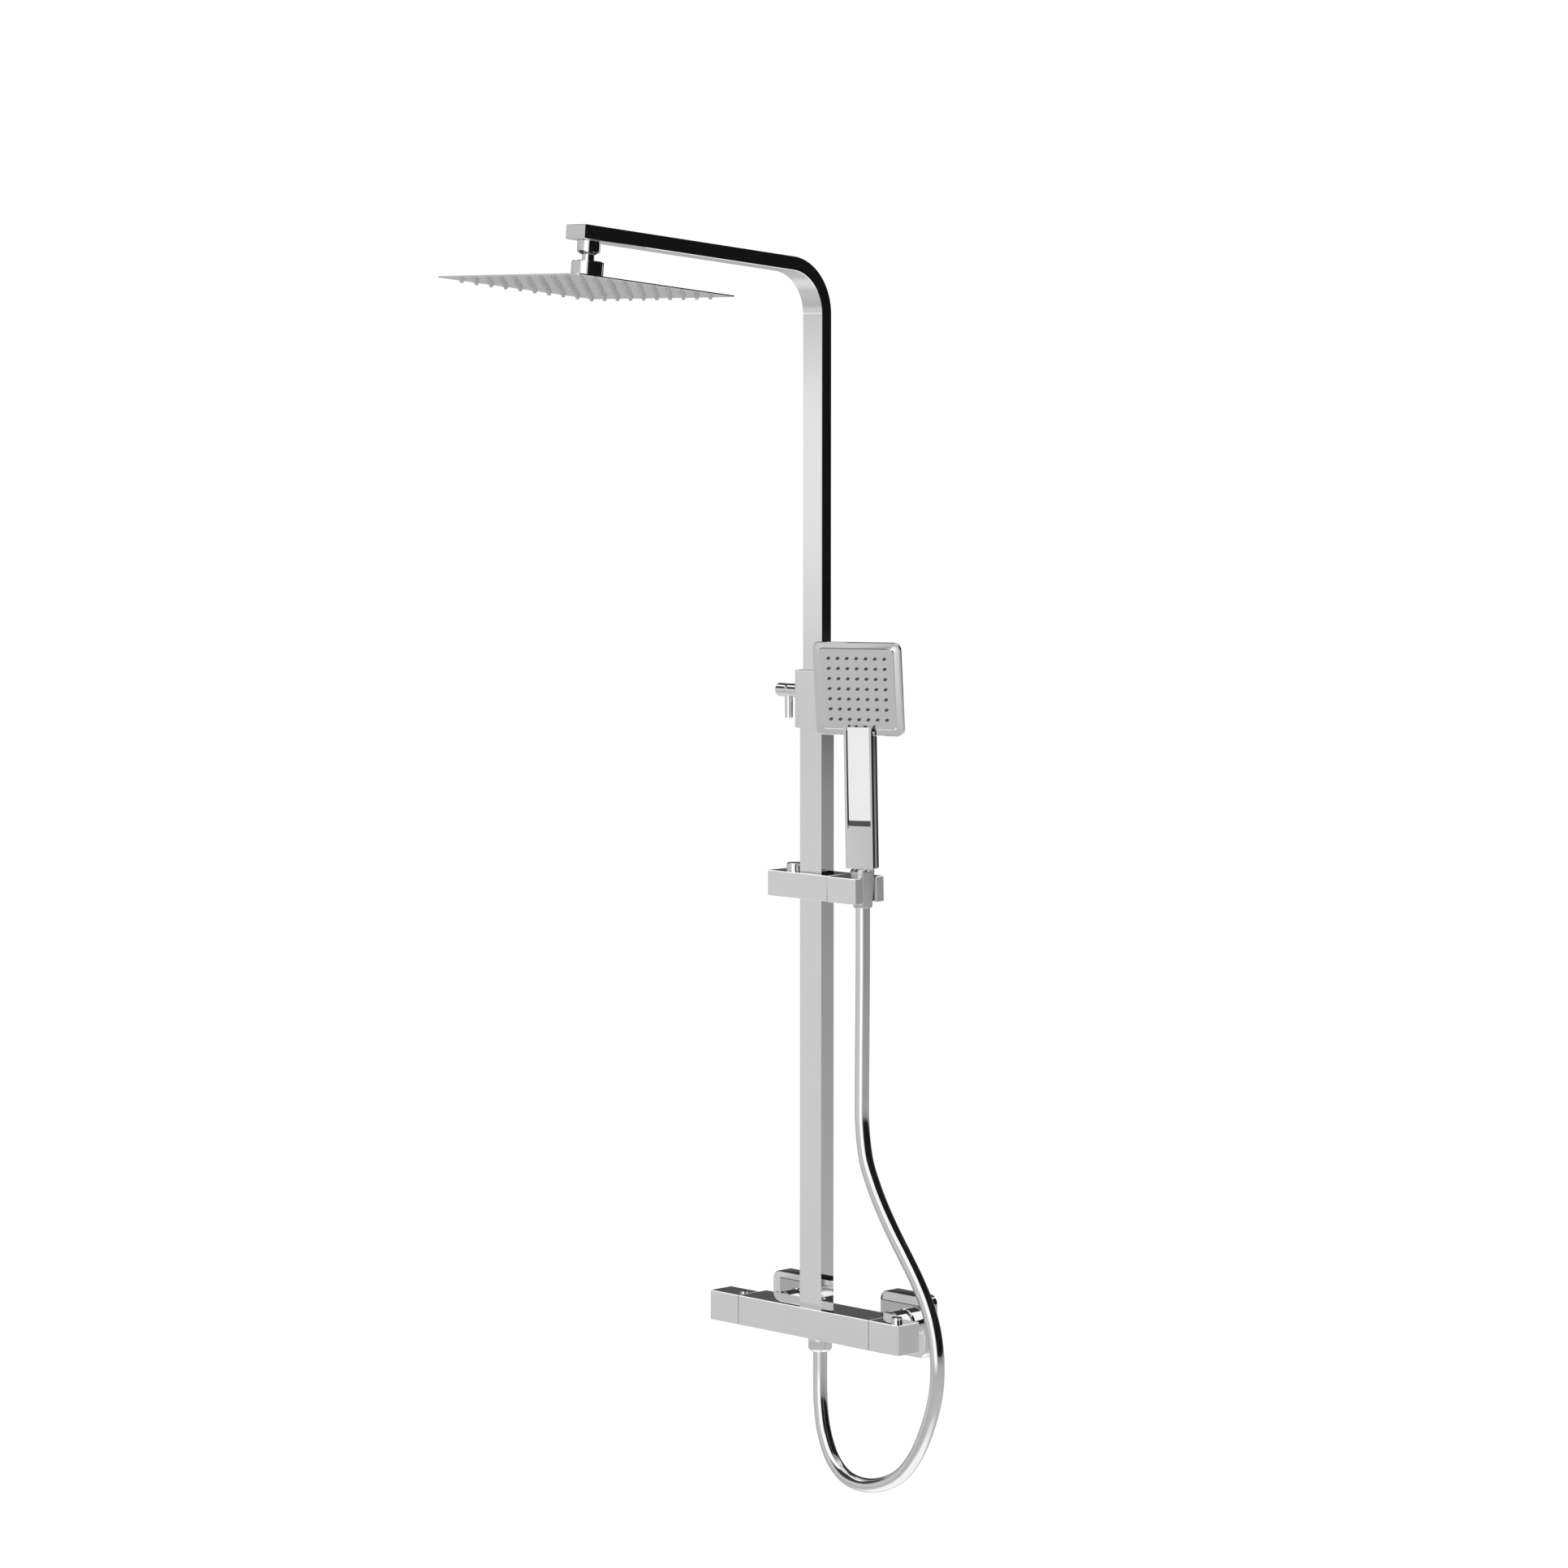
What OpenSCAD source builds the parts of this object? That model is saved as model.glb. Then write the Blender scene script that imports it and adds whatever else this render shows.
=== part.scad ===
// Rainfall shower column: a square thermostatic bar mixer, a telescopic rectangular riser with a bent
// arm and a thin square rain head, and a hand shower on a sliding holder with its hose.
// Frame: X to the right, -Y into the room, +Z up. The wall face is the plane Y = 0, and the origin lies
// on it, midway between the two water inlets.

/* [Mixer] */
// Distance between the two water inlets
inlet_pitch = 150; // [140:1:160]
// Overall length of the bar mixer with both knobs
mixer_l = 261; // [250:1:280]
// Height of the square section
mixer_h = 29.5; // [28:0.5:34]
// Depth of the central body, front to back
body_d = 39; // [37:1:44]
// Distance from the wall to the front face of the mixer
mixer_reach = 80.5; // [78:0.5:90]
// Length of each knob
knob_l = 40.5; // [36:0.5:44]
// Depth of each knob, front to back
knob_d = 29; // [27:0.5:32]
// Width and height of a wall escutcheon
cover_w = 61; // [56:1:66]
// Depth of a wall escutcheon
cover_d = 17.5; // [15:0.5:20]

/* [Riser] */
// Width of the lower riser tube
lower_w = 29.6; // [28:0.2:32]
// Depth of the lower riser tube
lower_d = 18; // [17:0.5:20]
// Height at which the lower riser tube ends, inside the collar
lower_top = 605; // [560:5:640]
// Width of the upper riser tube and arm
upper_w = 26; // [24:0.5:27]
// Depth of the upper riser tube and arm
upper_d = 13.4; // [12:0.2:14]
// Height of the lower end of the upper riser tube
upper_foot = 450; // [420:5:500]
// Height at which the bend starts
bend_z = 981; // [900:1:1050]
// Radius of the bend, measured on the middle of the tube
bend_r = 48.4; // [40:0.2:60]
// Rise of the arm above level, in degrees
arm_rise = 5.3; // [0:0.1:8]
// Length of the straight part of the arm
arm_l = 269.5; // [240:0.5:320]

/* [Rain head] */
// Side of the square head plate
head_w = 196; // [180:2:220]
// Thickness of the head plate
plate_t = 1.2; // [1:0.1:2]
// Distance from the arm's underside to the underside of the head plate
head_drop = 42.6; // [40:0.2:48]
// Nozzles along one side of the head
head_n = 10; // [6:1:12]
// Distance between nozzles on the head
head_pitch = 18; // [14:0.5:18]

/* [Slider and hand shower] */
// Height of the middle of the slider
slider_z = 428.8; // [300:1:500]
// Tilt of the holder and hand shower towards the room, in degrees
holder_tilt = 1.4; // [0:0.1:4]
// Turn of the hand shower about its own axis, in degrees
handset_turn = 19.6; // [14:0.2:40]
// Width of the hand shower's spray head
spray_w = 92.8; // [88:0.2:94]
// Height of the hand shower's spray head
spray_h = 90.4; // [86:0.2:94]
// Nozzles along one side of the hand shower
spray_n = 7; // [5:1:8]
// Distance between nozzles on the hand shower
spray_pitch = 9.85; // [8:0.05:10]
// Width of the hand shower's handle
grip_w = 29; // [26:0.5:32]
// Depth of the hand shower's handle
grip_d = 13.6; // [12:0.2:15]

/* [Hidden] */
$fn = 48;

// Sliding and rotating fits have this much clearance on every side
run = 0.05;
// Parts that are pushed or screwed together share a face with this much room
snug = 0.02;
eps = 0.5;

// Places shared by several parts
inlet_x = inlet_pitch / 2;
front_y = -mixer_reach;
body_back = front_y + body_d;
axis_y = front_y + body_d / 2;
knob_y = front_y + knob_d / 2;
half_h = mixer_h / 2;
seam_x = mixer_l / 2 - knob_l;
seam_gap = 0.25;
bevel = 0.6;

// Mixer internals
chamber_r = 10.5;
chamber_end = 25;
cartridge_end = 80;
spindle_r = 4;
knob_wall = 2.2;
hub_half = 5.2;
nipple_r = 6.8;
nipple_h = 20;
outlet_y = -56;
thread_half_inch = 10.48;
union_thread_r = 12.4;
union_front = -26;
stub_front = -28;
washer_t = 2;
nut_r = 15;
wall_thread_l = 16;
water_r = 7;

// Buttons on the knobs: place along X, radius, height above the knob's top
temp_button_x = -97;
temp_button_r = 3.4;
temp_button_up = 1.9;
flow_button_x = 114.5;
flow_button_r = 5.2;
flow_button_up = 4.9;
button_foot = 10.4;

// Riser
lower_wall = 1.4;
upper_wall = 1.2;
collar_w = 35;
collar_d = 28;
collar_low = 582;
collar_top = 638;
lever_z = 617;
lever_r = 6.4;
rod_x = -38.6;
bracket_z = 610;
bracket_pitch = 34;
bend_y = axis_y - bend_r;
bend_angle = 90 - arm_rise;
head_at = 252.8;

// Slider and hand shower
slider_h = 25;
slider_left = -48.9;
slider_seam = 33;
fork_right = 72;
cone_x = 62.5;
cone_drop = 17.2;
cone_low_r = 9.1;
cone_top_r = 11.6;
cone_h = 33;
release_x = -29.5;
release_y = -62;
release_r = 8;
release_up = 7.5;
grip_low = 38;
grip_top = 175.3;
tongue_low = 166.2;
panel_low = 84;
panel_t = 2;
spray_z = 211.4;
spray_y = -3.5;
spray_lean = 4.3;
hose_r = 7;
tongue_y = -0.2;
outlet_nut_low = -31;

// Middle line of the hose, from under the cone nut to the outlet nut under the mixer
hose_route = [
    [62.5, -60.6, 411.4], [62.5, -60.6, 350], [62, -60.6, 290], [61.5, -60.5, 230],
    [62, -60.5, 200], [67, -60.5, 167], [77, -60.5, 143], [90, -60.5, 120], [105, -60.5, 98],
    [121, -60.5, 77], [137, -60.5, 55], [150, -60.5, 33], [159, -60.5, 9], [163, -60.5, -18],
    [161, -60, -48], [152, -60, -79], [135, -60, -113], [110, -59.5, -139], [75, -59, -153],
    [42, -58, -152], [20, -57.5, -137], [7, -57, -112], [1.5, -56.5, -85], [0, -56, -60],
    [0, -56, -31.2]
];

// ---------- shared shapes ----------

// Outline of a rectangle with its corners cut at 45 degrees
module bevelled(w, h, c) {
    polygon([
        [-w / 2 + c, -h / 2], [w / 2 - c, -h / 2], [w / 2, -h / 2 + c], [w / 2, h / 2 - c],
        [w / 2 - c, h / 2], [-w / 2 + c, h / 2], [-w / 2, h / 2 - c], [-w / 2, -h / 2 + c]
    ]);
}

// Outline of a rectangle with round corners, from plain squares and circles
module rounded(w, h, r) {
    square([w - 2 * r, h], center = true);
    square([w, h - 2 * r], center = true);
    for (x = [-1, 1], y = [-1, 1])
        translate([x * (w / 2 - r), y * (h / 2 - r)]) circle(r);
}

// Bar along X with bevelled long edges, from x0 to x1, centred on y and z
module bar_x(x0, x1, y, z, d, h, c = bevel) {
    translate([x0, y, z]) rotate([90, 0, 90]) linear_extrude(x1 - x0) bevelled(d, h, c);
}

// Cylinder along X, from x0 to x1
module rod_along_x(x0, x1, r) {
    translate([x0, 0, 0]) rotate([0, 90, 0]) cylinder(h = x1 - x0, r = r);
}

// Cylinder along Y, from y0 to y1
module rod_along_y(y0, y1, r) {
    translate([0, y1, 0]) rotate([90, 0, 0]) cylinder(h = y1 - y0, r = r);
}

// Round ring about Z, from z0 to z1
module ring(z0, z1, r_out, r_in) {
    translate([0, 0, z0]) difference() {
        cylinder(h = z1 - z0, r = r_out);
        translate([0, 0, -eps]) cylinder(h = z1 - z0 + 2 * eps, r = r_in);
    }
}

// Rectangular tube outline
module frame_2d(w, d, wall) {
    difference() {
        bevelled(w, d, 0.5);
        square([w - 2 * wall, d - 2 * wall], center = true);
    }
}

// Rectangular block about Z with a bevelled outline, from z0 to z1
module block(z0, z1, w, d, c = 0.3) {
    translate([0, 0, z0]) linear_extrude(z1 - z0) bevelled(w, d, c);
}

// Round tube swept along a list of points, with flat ends
function unit(v) = v / norm(v);
function heading(p, i) =
    i == 0 ? unit(p[1] - p[0])
    : i == len(p) - 1 ? unit(p[i] - p[i - 1])
    : unit(unit(p[i + 1] - p[i]) + unit(p[i] - p[i - 1]));
function side_of(h, hint) = unit(hint - h * (hint * h));
function sweep_ring(p, h, r, sides, hint) =
    let (a = side_of(h, hint), b = cross(h, a))
    [for (k = [0:sides - 1]) p + r * (cos(360 * k / sides) * a + sin(360 * k / sides) * b)];

module sweep(p, r, sides, hint) {
    n = len(p);
    points = [for (i = [0:n - 1]) each sweep_ring(p[i], heading(p, i), r, sides, hint)];
    walls = [
        for (i = [0:n - 2], k = [0:sides - 1])
            [i * sides + k, i * sides + (k + 1) % sides,
             (i + 1) * sides + (k + 1) % sides, (i + 1) * sides + k]
    ];
    low_cap = [for (k = [sides - 1:-1:0]) k];
    high_cap = [for (k = [0:sides - 1]) (n - 1) * sides + k];
    polyhedron(points = points, faces = concat([low_cap], walls, [high_cap]), convexity = 6);
}

// Smooth curve through the route's points, with several steps in each span
function curve_at(a, b, c, d, t) =
    0.5 * (2 * b + (c - a) * t + (2 * a - 5 * b + 4 * c - d) * t * t
    + (3 * b - a - 3 * c + d) * t * t * t);
function smooth_route(p, steps) = [
    for (i = [0:len(p) - 2], s = [0:steps - 1])
        curve_at(p[max(i - 1, 0)], p[i], p[i + 1], p[min(i + 2, len(p) - 1)], s / steps),
    p[len(p) - 1]
];

// Coil spring standing on Z, from z0 to z1
function coil_points(r, z0, z1, turns, steps) = [
    for (i = [0:turns * steps])
        [r * cos(360 * i / steps), r * sin(360 * i / steps), z0 + (z1 - z0) * i / (turns * steps)]
];

module coil_spring(r, wire_r, z0, z1, turns) {
    sweep(coil_points(r, z0 + wire_r, z1 - wire_r, turns, 14), wire_r, 6, [0, 0, 1]);
}

// ---------- frames of the inclined parts ----------

module at_arm() {
    translate([0, bend_y, bend_z]) rotate([bend_angle, 0, 0]) translate([0, bend_r, 0]) children();
}

module at_head() {
    at_arm() translate([0, -upper_d / 2, head_at]) rotate([-90, 0, 0]) children();
}

module at_holder() {
    translate([0, axis_y, slider_z]) rotate([holder_tilt, 0, 0]) children();
}

module at_handset() {
    at_holder() translate([cone_x, 0, -cone_drop]) rotate([0, 0, handset_turn]) children();
}

module at_spray() {
    at_handset() translate([0, spray_y, spray_z]) rotate([spray_lean, 0, 0]) children();
}

// ---------- mixer ----------

module mixer_body() {
    color("silver") difference() {
        union() {
            bar_x(-seam_x, seam_x, axis_y, 0, body_d, mixer_h);
            for (s = [-1, 1]) translate([s * inlet_x, 0, 0]) {
                rod_along_y(body_back - eps, stub_front, 9.5);
                rod_along_y(stub_front - 3, stub_front, 12);
            }
            translate([0, axis_y, half_h - eps]) cylinder(h = nipple_h + eps, r = nipple_r);
        }
        for (s = [0, 1]) mirror([s, 0, 0]) translate([0, knob_y, 0])
            rod_along_x(chamber_end, seam_x + eps, chamber_r);
        for (s = [-1, 1]) translate([s * inlet_x, 0, 0])
            rod_along_y(knob_y, stub_front + eps, water_r + 0.5);
        // mixed water across the middle, then forward to the riser and the hose
        translate([0, knob_y, -7]) rod_along_x(-chamber_end - eps, chamber_end + eps, 2.6);
        translate([0, knob_y, 6]) rod_along_x(0, chamber_end + eps, 2.8);
        translate([0, outlet_y - 2.5, -1.2]) rod_along_x(0, chamber_end + eps, 2.2);
        translate([0, axis_y, 3]) cylinder(h = half_h + nipple_h, r = 4);
        translate([0, outlet_y, -half_h - eps]) cylinder(h = half_h + eps + 0.5, r = 4.5);
        for (z = [4, 12]) translate([0, axis_y, half_h + z]) ring(0, 2.1, nipple_r + eps, 5.2);
    }
}

module wall_union(x) {
    color("silver") translate([x, 0, 0]) difference() {
        union() {
            rod_along_y(-eps, wall_thread_l, thread_half_inch);
            translate([0, -8, 0]) rotate([-90, 0, 0]) cylinder(h = 8, r = 14, $fn = 6);
            rod_along_y(union_front, -8 + eps, union_thread_r);
        }
        rod_along_y(union_front - eps, wall_thread_l + eps, water_r);
    }
}

module hot_wall_union() {
    wall_union(-inlet_x);
}

module cold_wall_union() {
    wall_union(inlet_x);
}

// Hollow square cover, open towards the wall
module escutcheon(x) {
    color("silver") translate([x, 0, 0]) rotate([90, 0, 0]) difference() {
        union() {
            linear_extrude(cover_d - 1) rounded(cover_w, cover_w, 9);
            translate([0, 0, cover_d - 1]) linear_extrude(1) rounded(cover_w - 1.4, cover_w - 1.4, 8.3);
        }
        translate([0, 0, -eps]) linear_extrude(cover_d - 2 + eps) rounded(cover_w - 3, cover_w - 3, 7.5);
        cylinder(h = cover_d + eps, r = union_thread_r + run);
    }
}

module hot_escutcheon() {
    escutcheon(-inlet_x);
}

module cold_escutcheon() {
    escutcheon(inlet_x);
}

// Captive nut that pulls the mixer's stub onto the wall union
module union_nut(x) {
    color("silver") translate([x, 0, 0]) difference() {
        union() {
            rod_along_y(-38, -20, nut_r);
            rod_along_y(-20 - eps, -18.2, nut_r - 0.8);
        }
        rod_along_y(stub_front - 3.2, -18, union_thread_r + snug);
        rod_along_y(-39, -30, 9.5 + snug);
    }
}

module hot_union_nut() {
    union_nut(-inlet_x);
}

module cold_union_nut() {
    union_nut(inlet_x);
}

module inlet_filter_washers() {
    color("dimgray") for (s = [-1, 1]) translate([s * inlet_x, union_front, 0]) rotate([90, 0, 0])
        ring(snug, washer_t - snug, 11.5, 5);
}

module check_valves() {
    color("white") for (s = [-1, 1]) translate([s * inlet_x, 0, 0]) difference() {
        rod_along_y(-44, stub_front - 1, water_r + 0.5 - snug);
        rod_along_y(-45, stub_front, 3.5);
    }
}

// Cartridge body in the left (-1) or right (1) chamber, with sockets for its spindle
module cartridge(s) {
    translate([0, knob_y, 0]) mirror([s < 0 ? 1 : 0, 0, 0]) difference() {
        union() {
            rod_along_x(chamber_end + 6, 60, 8.4);
            rod_along_x(60 - eps, 66, chamber_r - snug);
            rod_along_x(66 - eps, cartridge_end, chamber_r - 0.5);
        }
        rod_along_x(72, cartridge_end + eps, spindle_r + run);
        rod_along_x(chamber_end, 62, 5);
    }
}

module thermostatic_cartridge() {
    color("goldenrod") cartridge(-1);
}

module diverter_cartridge() {
    color("goldenrod") cartridge(1);
}

module cartridge_retaining_nuts() {
    color("goldenrod") for (s = [0, 1]) translate([0, knob_y, 0]) mirror([s, 0, 0]) difference() {
        rod_along_x(cartridge_end + snug, cartridge_end + 9, chamber_r - snug);
        rod_along_x(cartridge_end, cartridge_end + 10, 6);
    }
}

// Hollow square knob on the right; bx, br: the button's place along X and radius
module knob(bx, br) {
    inner_x = seam_x + seam_gap;
    difference() {
        bar_x(inner_x, mixer_l / 2, knob_y, 0, knob_d, mixer_h);
        translate([0, knob_y, 0]) difference() {
            translate([inner_x - eps, -knob_d / 2 + knob_wall, -half_h + knob_wall])
                cube([knob_l - seam_gap - 3 + eps, knob_d - 2 * knob_wall, mixer_h - 2 * knob_wall]);
            translate([inner_x + 2, -hub_half, -hub_half]) cube([knob_l, 2 * hub_half, 2 * hub_half]);
            translate([bx, 0, button_foot + 0.5]) cylinder(h = half_h, r = br + 1.6);
        }
        translate([bx, knob_y, button_foot - 1]) cylinder(h = half_h, r = br + run);
        translate([0, knob_y, 0]) rod_along_x(inner_x - eps, mixer_l / 2 - 6, spindle_r + snug);
    }
}

module temperature_knob() {
    color("silver") mirror([1, 0, 0]) knob(-temp_button_x, temp_button_r);
}

module flow_knob() {
    color("silver") knob(flow_button_x, flow_button_r);
}

module spindle(s) {
    translate([0, knob_y, 0]) mirror([s < 0 ? 1 : 0, 0, 0])
        rod_along_x(73, mixer_l / 2 - 6.5, spindle_r);
}

module temperature_spindle() {
    color("goldenrod") spindle(-1);
}

module flow_spindle() {
    color("goldenrod") spindle(1);
}

// Push button with a slightly crowned top
module knob_button(x, r, up) {
    top = half_h + up;
    translate([x, knob_y, 0]) {
        translate([0, 0, button_foot]) cylinder(h = top - button_foot - 0.5, r = r);
        translate([0, 0, top - 0.5 - snug]) cylinder(h = 0.5 + snug, r1 = r, r2 = r - 0.5);
    }
}

module temperature_stop_button() {
    color("silver") knob_button(temp_button_x, temp_button_r, temp_button_up);
}

module flow_button() {
    color("silver") knob_button(flow_button_x, flow_button_r, flow_button_up);
}

module knob_button_spring(x, r) {
    translate([x, knob_y, 0]) coil_spring(r - 1.2, 0.35, hub_half + snug, button_foot - snug, 3);
}

module temperature_button_spring() {
    color("gray") knob_button_spring(temp_button_x, temp_button_r);
}

module flow_button_spring() {
    color("gray") knob_button_spring(flow_button_x, flow_button_r);
}

module hose_outlet_nipple() {
    color("silver") translate([0, outlet_y, 0]) {
        ring(-26, -half_h - snug, thread_half_inch - 0.3, 4.5);
    }
}

module outlet_hose_nut() {
    color("silver") translate([0, outlet_y, 0]) difference() {
        union() {
            translate([0, 0, outlet_nut_low + 2.5])
                cylinder(h = -outlet_nut_low - 2.5 - half_h - 0.1, r = 11.7);
            translate([0, 0, outlet_nut_low]) cylinder(h = 2.5 + snug, r1 = 9.6, r2 = 11.7);
        }
        translate([0, 0, -26.2]) cylinder(h = 20, r = thread_half_inch - 0.3 + snug);
        translate([0, 0, outlet_nut_low - eps]) cylinder(h = 20, r = 4.5);
    }
}

module hose_tube() {
    color("gainsboro") sweep(smooth_route(hose_route, 2), hose_r, 10, [0, 1, 0]);
}

// ---------- riser ----------

module lower_riser_tube() {
    color("silver") translate([0, axis_y, half_h + snug])
        linear_extrude(lower_top - half_h - snug) frame_2d(lower_w, lower_d, lower_wall);
}

module riser_foot_plug() {
    color("dimgray") translate([0, axis_y, 0]) difference() {
        block(half_h + 0.2, half_h + 24, lower_w - 2 * lower_wall - 2 * snug,
              lower_d - 2 * lower_wall - 2 * snug);
        translate([0, 0, half_h - eps]) cylinder(h = nipple_h + 1.5, r = nipple_r + run);
        cylinder(h = 60, r = 4.5);
    }
}

module riser_o_rings() {
    color("black") for (z = [4, 12]) translate([0, axis_y, half_h + z + 1.05])
        rotate_extrude() translate([6.02, 0]) circle(0.78, $fn = 24);
}

module telescopic_collar() {
    color("silver") difference() {
        union() {
            translate([0, axis_y, collar_low]) linear_extrude(collar_top - collar_low)
                rounded(collar_w, collar_d, 2.5);
            translate([0, axis_y, lever_z]) rod_along_x(-collar_w / 2 - 2.3, 0, lever_r);
        }
        translate([0, axis_y, collar_low - eps]) linear_extrude(lower_top - collar_low + eps + snug)
            square([lower_w + 2 * snug, lower_d + 2 * snug], center = true);
        translate([0, axis_y, collar_low]) linear_extrude(collar_top)
            square([upper_w + 2.2, upper_d + 2.2], center = true);
        translate([0, axis_y, lever_z]) rod_along_x(-collar_w, 0, 3);
        translate([0, axis_y, bracket_z]) rod_along_y(collar_d / 2 - 4, collar_d, 5);
    }
}

module collar_liner() {
    color("dimgray") translate([0, axis_y, lower_top + 0.1]) linear_extrude(collar_top - lower_top - 0.6)
        difference() {
            square([upper_w + 2.2 - 2 * snug, upper_d + 2.2 - 2 * snug], center = true);
            square([upper_w + 2 * run, upper_d + 2 * run], center = true);
        }
}

// Lever head with a groove, and the clamping screw behind it
module lock_lever_drum() {
    color("silver") translate([0, axis_y, lever_z]) difference() {
        union() {
            rod_along_x(-52, -39.2, lever_r);
            rod_along_x(-39.5, -36.2, lever_r - 1.4);
            rod_along_x(-36.6, -20.1, lever_r);
            rod_along_x(-20.5, -14.4, 3 - run);
        }
        translate([rod_x, 0, -lever_r - eps]) cylinder(h = lever_r + eps - 1, r = 4 + snug);
    }
}

module lock_lever_rod() {
    color("silver") translate([rod_x, axis_y, lever_z - 27.3]) {
        translate([0, 0, 0.6]) cylinder(h = 25.5, r = 4);
        cylinder(h = 0.6 + snug, r1 = 3.4, r2 = 4);
    }
}

module wall_bracket_post() {
    color("silver") translate([0, 0, bracket_z]) {
        rod_along_y(axis_y + collar_d / 2, -6, 9);
        rod_along_y(axis_y + collar_d / 2 - 3.8, axis_y + collar_d / 2 + eps, 5 - snug);
        rod_along_y(-6 - eps, -3, 5 - snug);
    }
}

module wall_bracket_plate() {
    color("silver") translate([0, 0, bracket_z]) difference() {
        rotate([90, 0, 0]) linear_extrude(6 - snug) rounded(36, 54, 4);
        rod_along_y(-7, -2.9, 5);
        for (s = [-1, 1]) translate([0, 0, s * bracket_pitch / 2]) rod_along_y(-7, 1, 2.6);
    }
}

module bracket_screws() {
    color("gray") translate([0, 0, bracket_z]) for (s = [-1, 1])
        translate([0, 0, s * bracket_pitch / 2]) {
            rod_along_y(-6.2, 0.3 + snug, 2.3);
            rod_along_y(0.3, 30, 2.5);
            difference() {
                rod_along_y(-9, -6, 4.6);
                rod_along_y(-9.5, -7.4, 2);
            }
        }
}

module upper_riser_arm() {
    color("silver") difference() {
        union() {
            translate([0, axis_y, upper_foot]) linear_extrude(bend_z - upper_foot)
                frame_2d(upper_w, upper_d, upper_wall);
            translate([0, bend_y, bend_z]) rotate([90, 0, 90]) rotate_extrude(angle = bend_angle, $fn = 160)
                translate([bend_r, 0]) rotate(90) frame_2d(upper_w, upper_d, upper_wall);
            at_arm() linear_extrude(arm_l) frame_2d(upper_w, upper_d, upper_wall);
        }
        at_head() translate([0, 0, -1]) cylinder(h = 4, r = 7.9 + snug);
    }
}

module riser_piston() {
    in_w = upper_w - 2 * upper_wall - 2 * snug;
    in_d = upper_d - 2 * upper_wall - 2 * snug;
    bore_w = lower_w - 2 * lower_wall - 2 * run;
    bore_d = lower_d - 2 * lower_wall - 2 * run;
    color("dimgray") translate([0, axis_y, upper_foot]) difference() {
        union() {
            block(-16, -snug, bore_w, bore_d);
            block(-eps, 12, in_w, in_d, 0.5);
        }
        for (z = [-13, -6]) translate([0, 0, z]) linear_extrude(2.2) difference() {
            square([40, 40], center = true);
            square([bore_w - 2.6, bore_d - 2.6], center = true);
        }
        translate([0, 0, -20]) cylinder(h = 40, r = 4);
    }
}

module piston_seals() {
    bore_w = lower_w - 2 * lower_wall - 2 * run;
    bore_d = lower_d - 2 * lower_wall - 2 * run;
    color("black") for (z = [-13, -6]) translate([0, axis_y, upper_foot + z + snug])
        linear_extrude(2.2 - 2 * snug) difference() {
            bevelled(bore_w, bore_d, 0.3);
            square([bore_w - 2.6 + 2 * snug, bore_d - 2.6 + 2 * snug], center = true);
        }
}

module arm_end_cap() {
    in_w = upper_w - 2 * upper_wall - 2 * snug;
    in_d = upper_d - 2 * upper_wall - 2 * snug;
    color("silver") at_arm() translate([0, 0, arm_l]) {
        translate([0, 0, snug]) linear_extrude(1.2) bevelled(upper_w, upper_d, 0.5);
        translate([0, 0, -5]) linear_extrude(5 + eps) square([in_w, in_d], center = true);
    }
}

// ---------- rain head, drawn in the head's own frame: Z = 0 is the arm's underside ----------

ball_z = -24.5;
ball_r = 8.5;
seat_r = 9;
neck_r = 5.75;
nut_low = -37.6;
plate_top = plate_t - head_drop;
cover_w_head = 176;
cover_edge = 0.6;
cover_rise = nut_low - plate_top - snug;
mat_t = 0.3;

module head_nipple() {
    color("goldenrod") at_head() difference() {
        union() {
            translate([0, 0, -8.3]) cylinder(h = 8.3 + upper_wall + snug, r = 7.9);
            translate([0, 0, upper_wall + snug]) cylinder(h = 1.6, r = 9.5);
        }
        translate([0, 0, -9]) cylinder(h = 20, r = 4.5);
    }
}

module ball_nut() {
    color("silver") at_head() difference() {
        union() {
            translate([0, 0, -10]) cylinder(h = 10 - snug, r = 10.75);
            translate([0, 0, -12.7]) cylinder(h = 2.7 + snug, r1 = 6.4, r2 = 10.75);
        }
        translate([0, 0, -8.5]) cylinder(h = 10, r = 7.9 + snug);
        translate([0, 0, -14]) cylinder(h = 10, r = neck_r + snug);
    }
}

module ball_stem() {
    color("silver") at_head() difference() {
        union() {
            translate([0, 0, -18]) cylinder(h = 18 - 8.6, r = neck_r);
            translate([0, 0, ball_z]) sphere(ball_r, $fn = 64);
        }
        translate([0, 0, ball_z - 10]) cylinder(h = 40, r = 3.2);
    }
}

// Part of a thin round shell about the ball's centre, between two heights
module ball_shell(z0, z1) {
    at_head() translate([0, 0, ball_z]) intersection() {
        difference() {
            sphere(seat_r, $fn = 64);
            sphere(ball_r + run, $fn = 64);
        }
        translate([0, 0, z0]) cylinder(h = z1 - z0, r = 2 * ball_r);
    }
}

module upper_ball_seat() {
    color("white") ball_shell(0.8, 3.8);
}

module lower_ball_seat() {
    color("white") ball_shell(-6, -2.2);
}

module socket_nut() {
    color("silver") at_head() difference() {
        union() {
            translate([0, 0, nut_low]) cylinder(h = -nut_low - 19, r = 15);
            translate([0, 0, -19 - snug]) cylinder(h = 0.6, r1 = 15, r2 = 14.4);
        }
        translate([0, 0, ball_z]) sphere(seat_r + run, $fn = 64);
        translate([0, 0, ball_z + 3.5]) cylinder(h = 20, r = 8);
        translate([0, 0, -35.4]) cylinder(h = 2.2, r = 9);
        translate([0, 0, nut_low - eps]) cylinder(h = 20, r = 5);
    }
}

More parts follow.
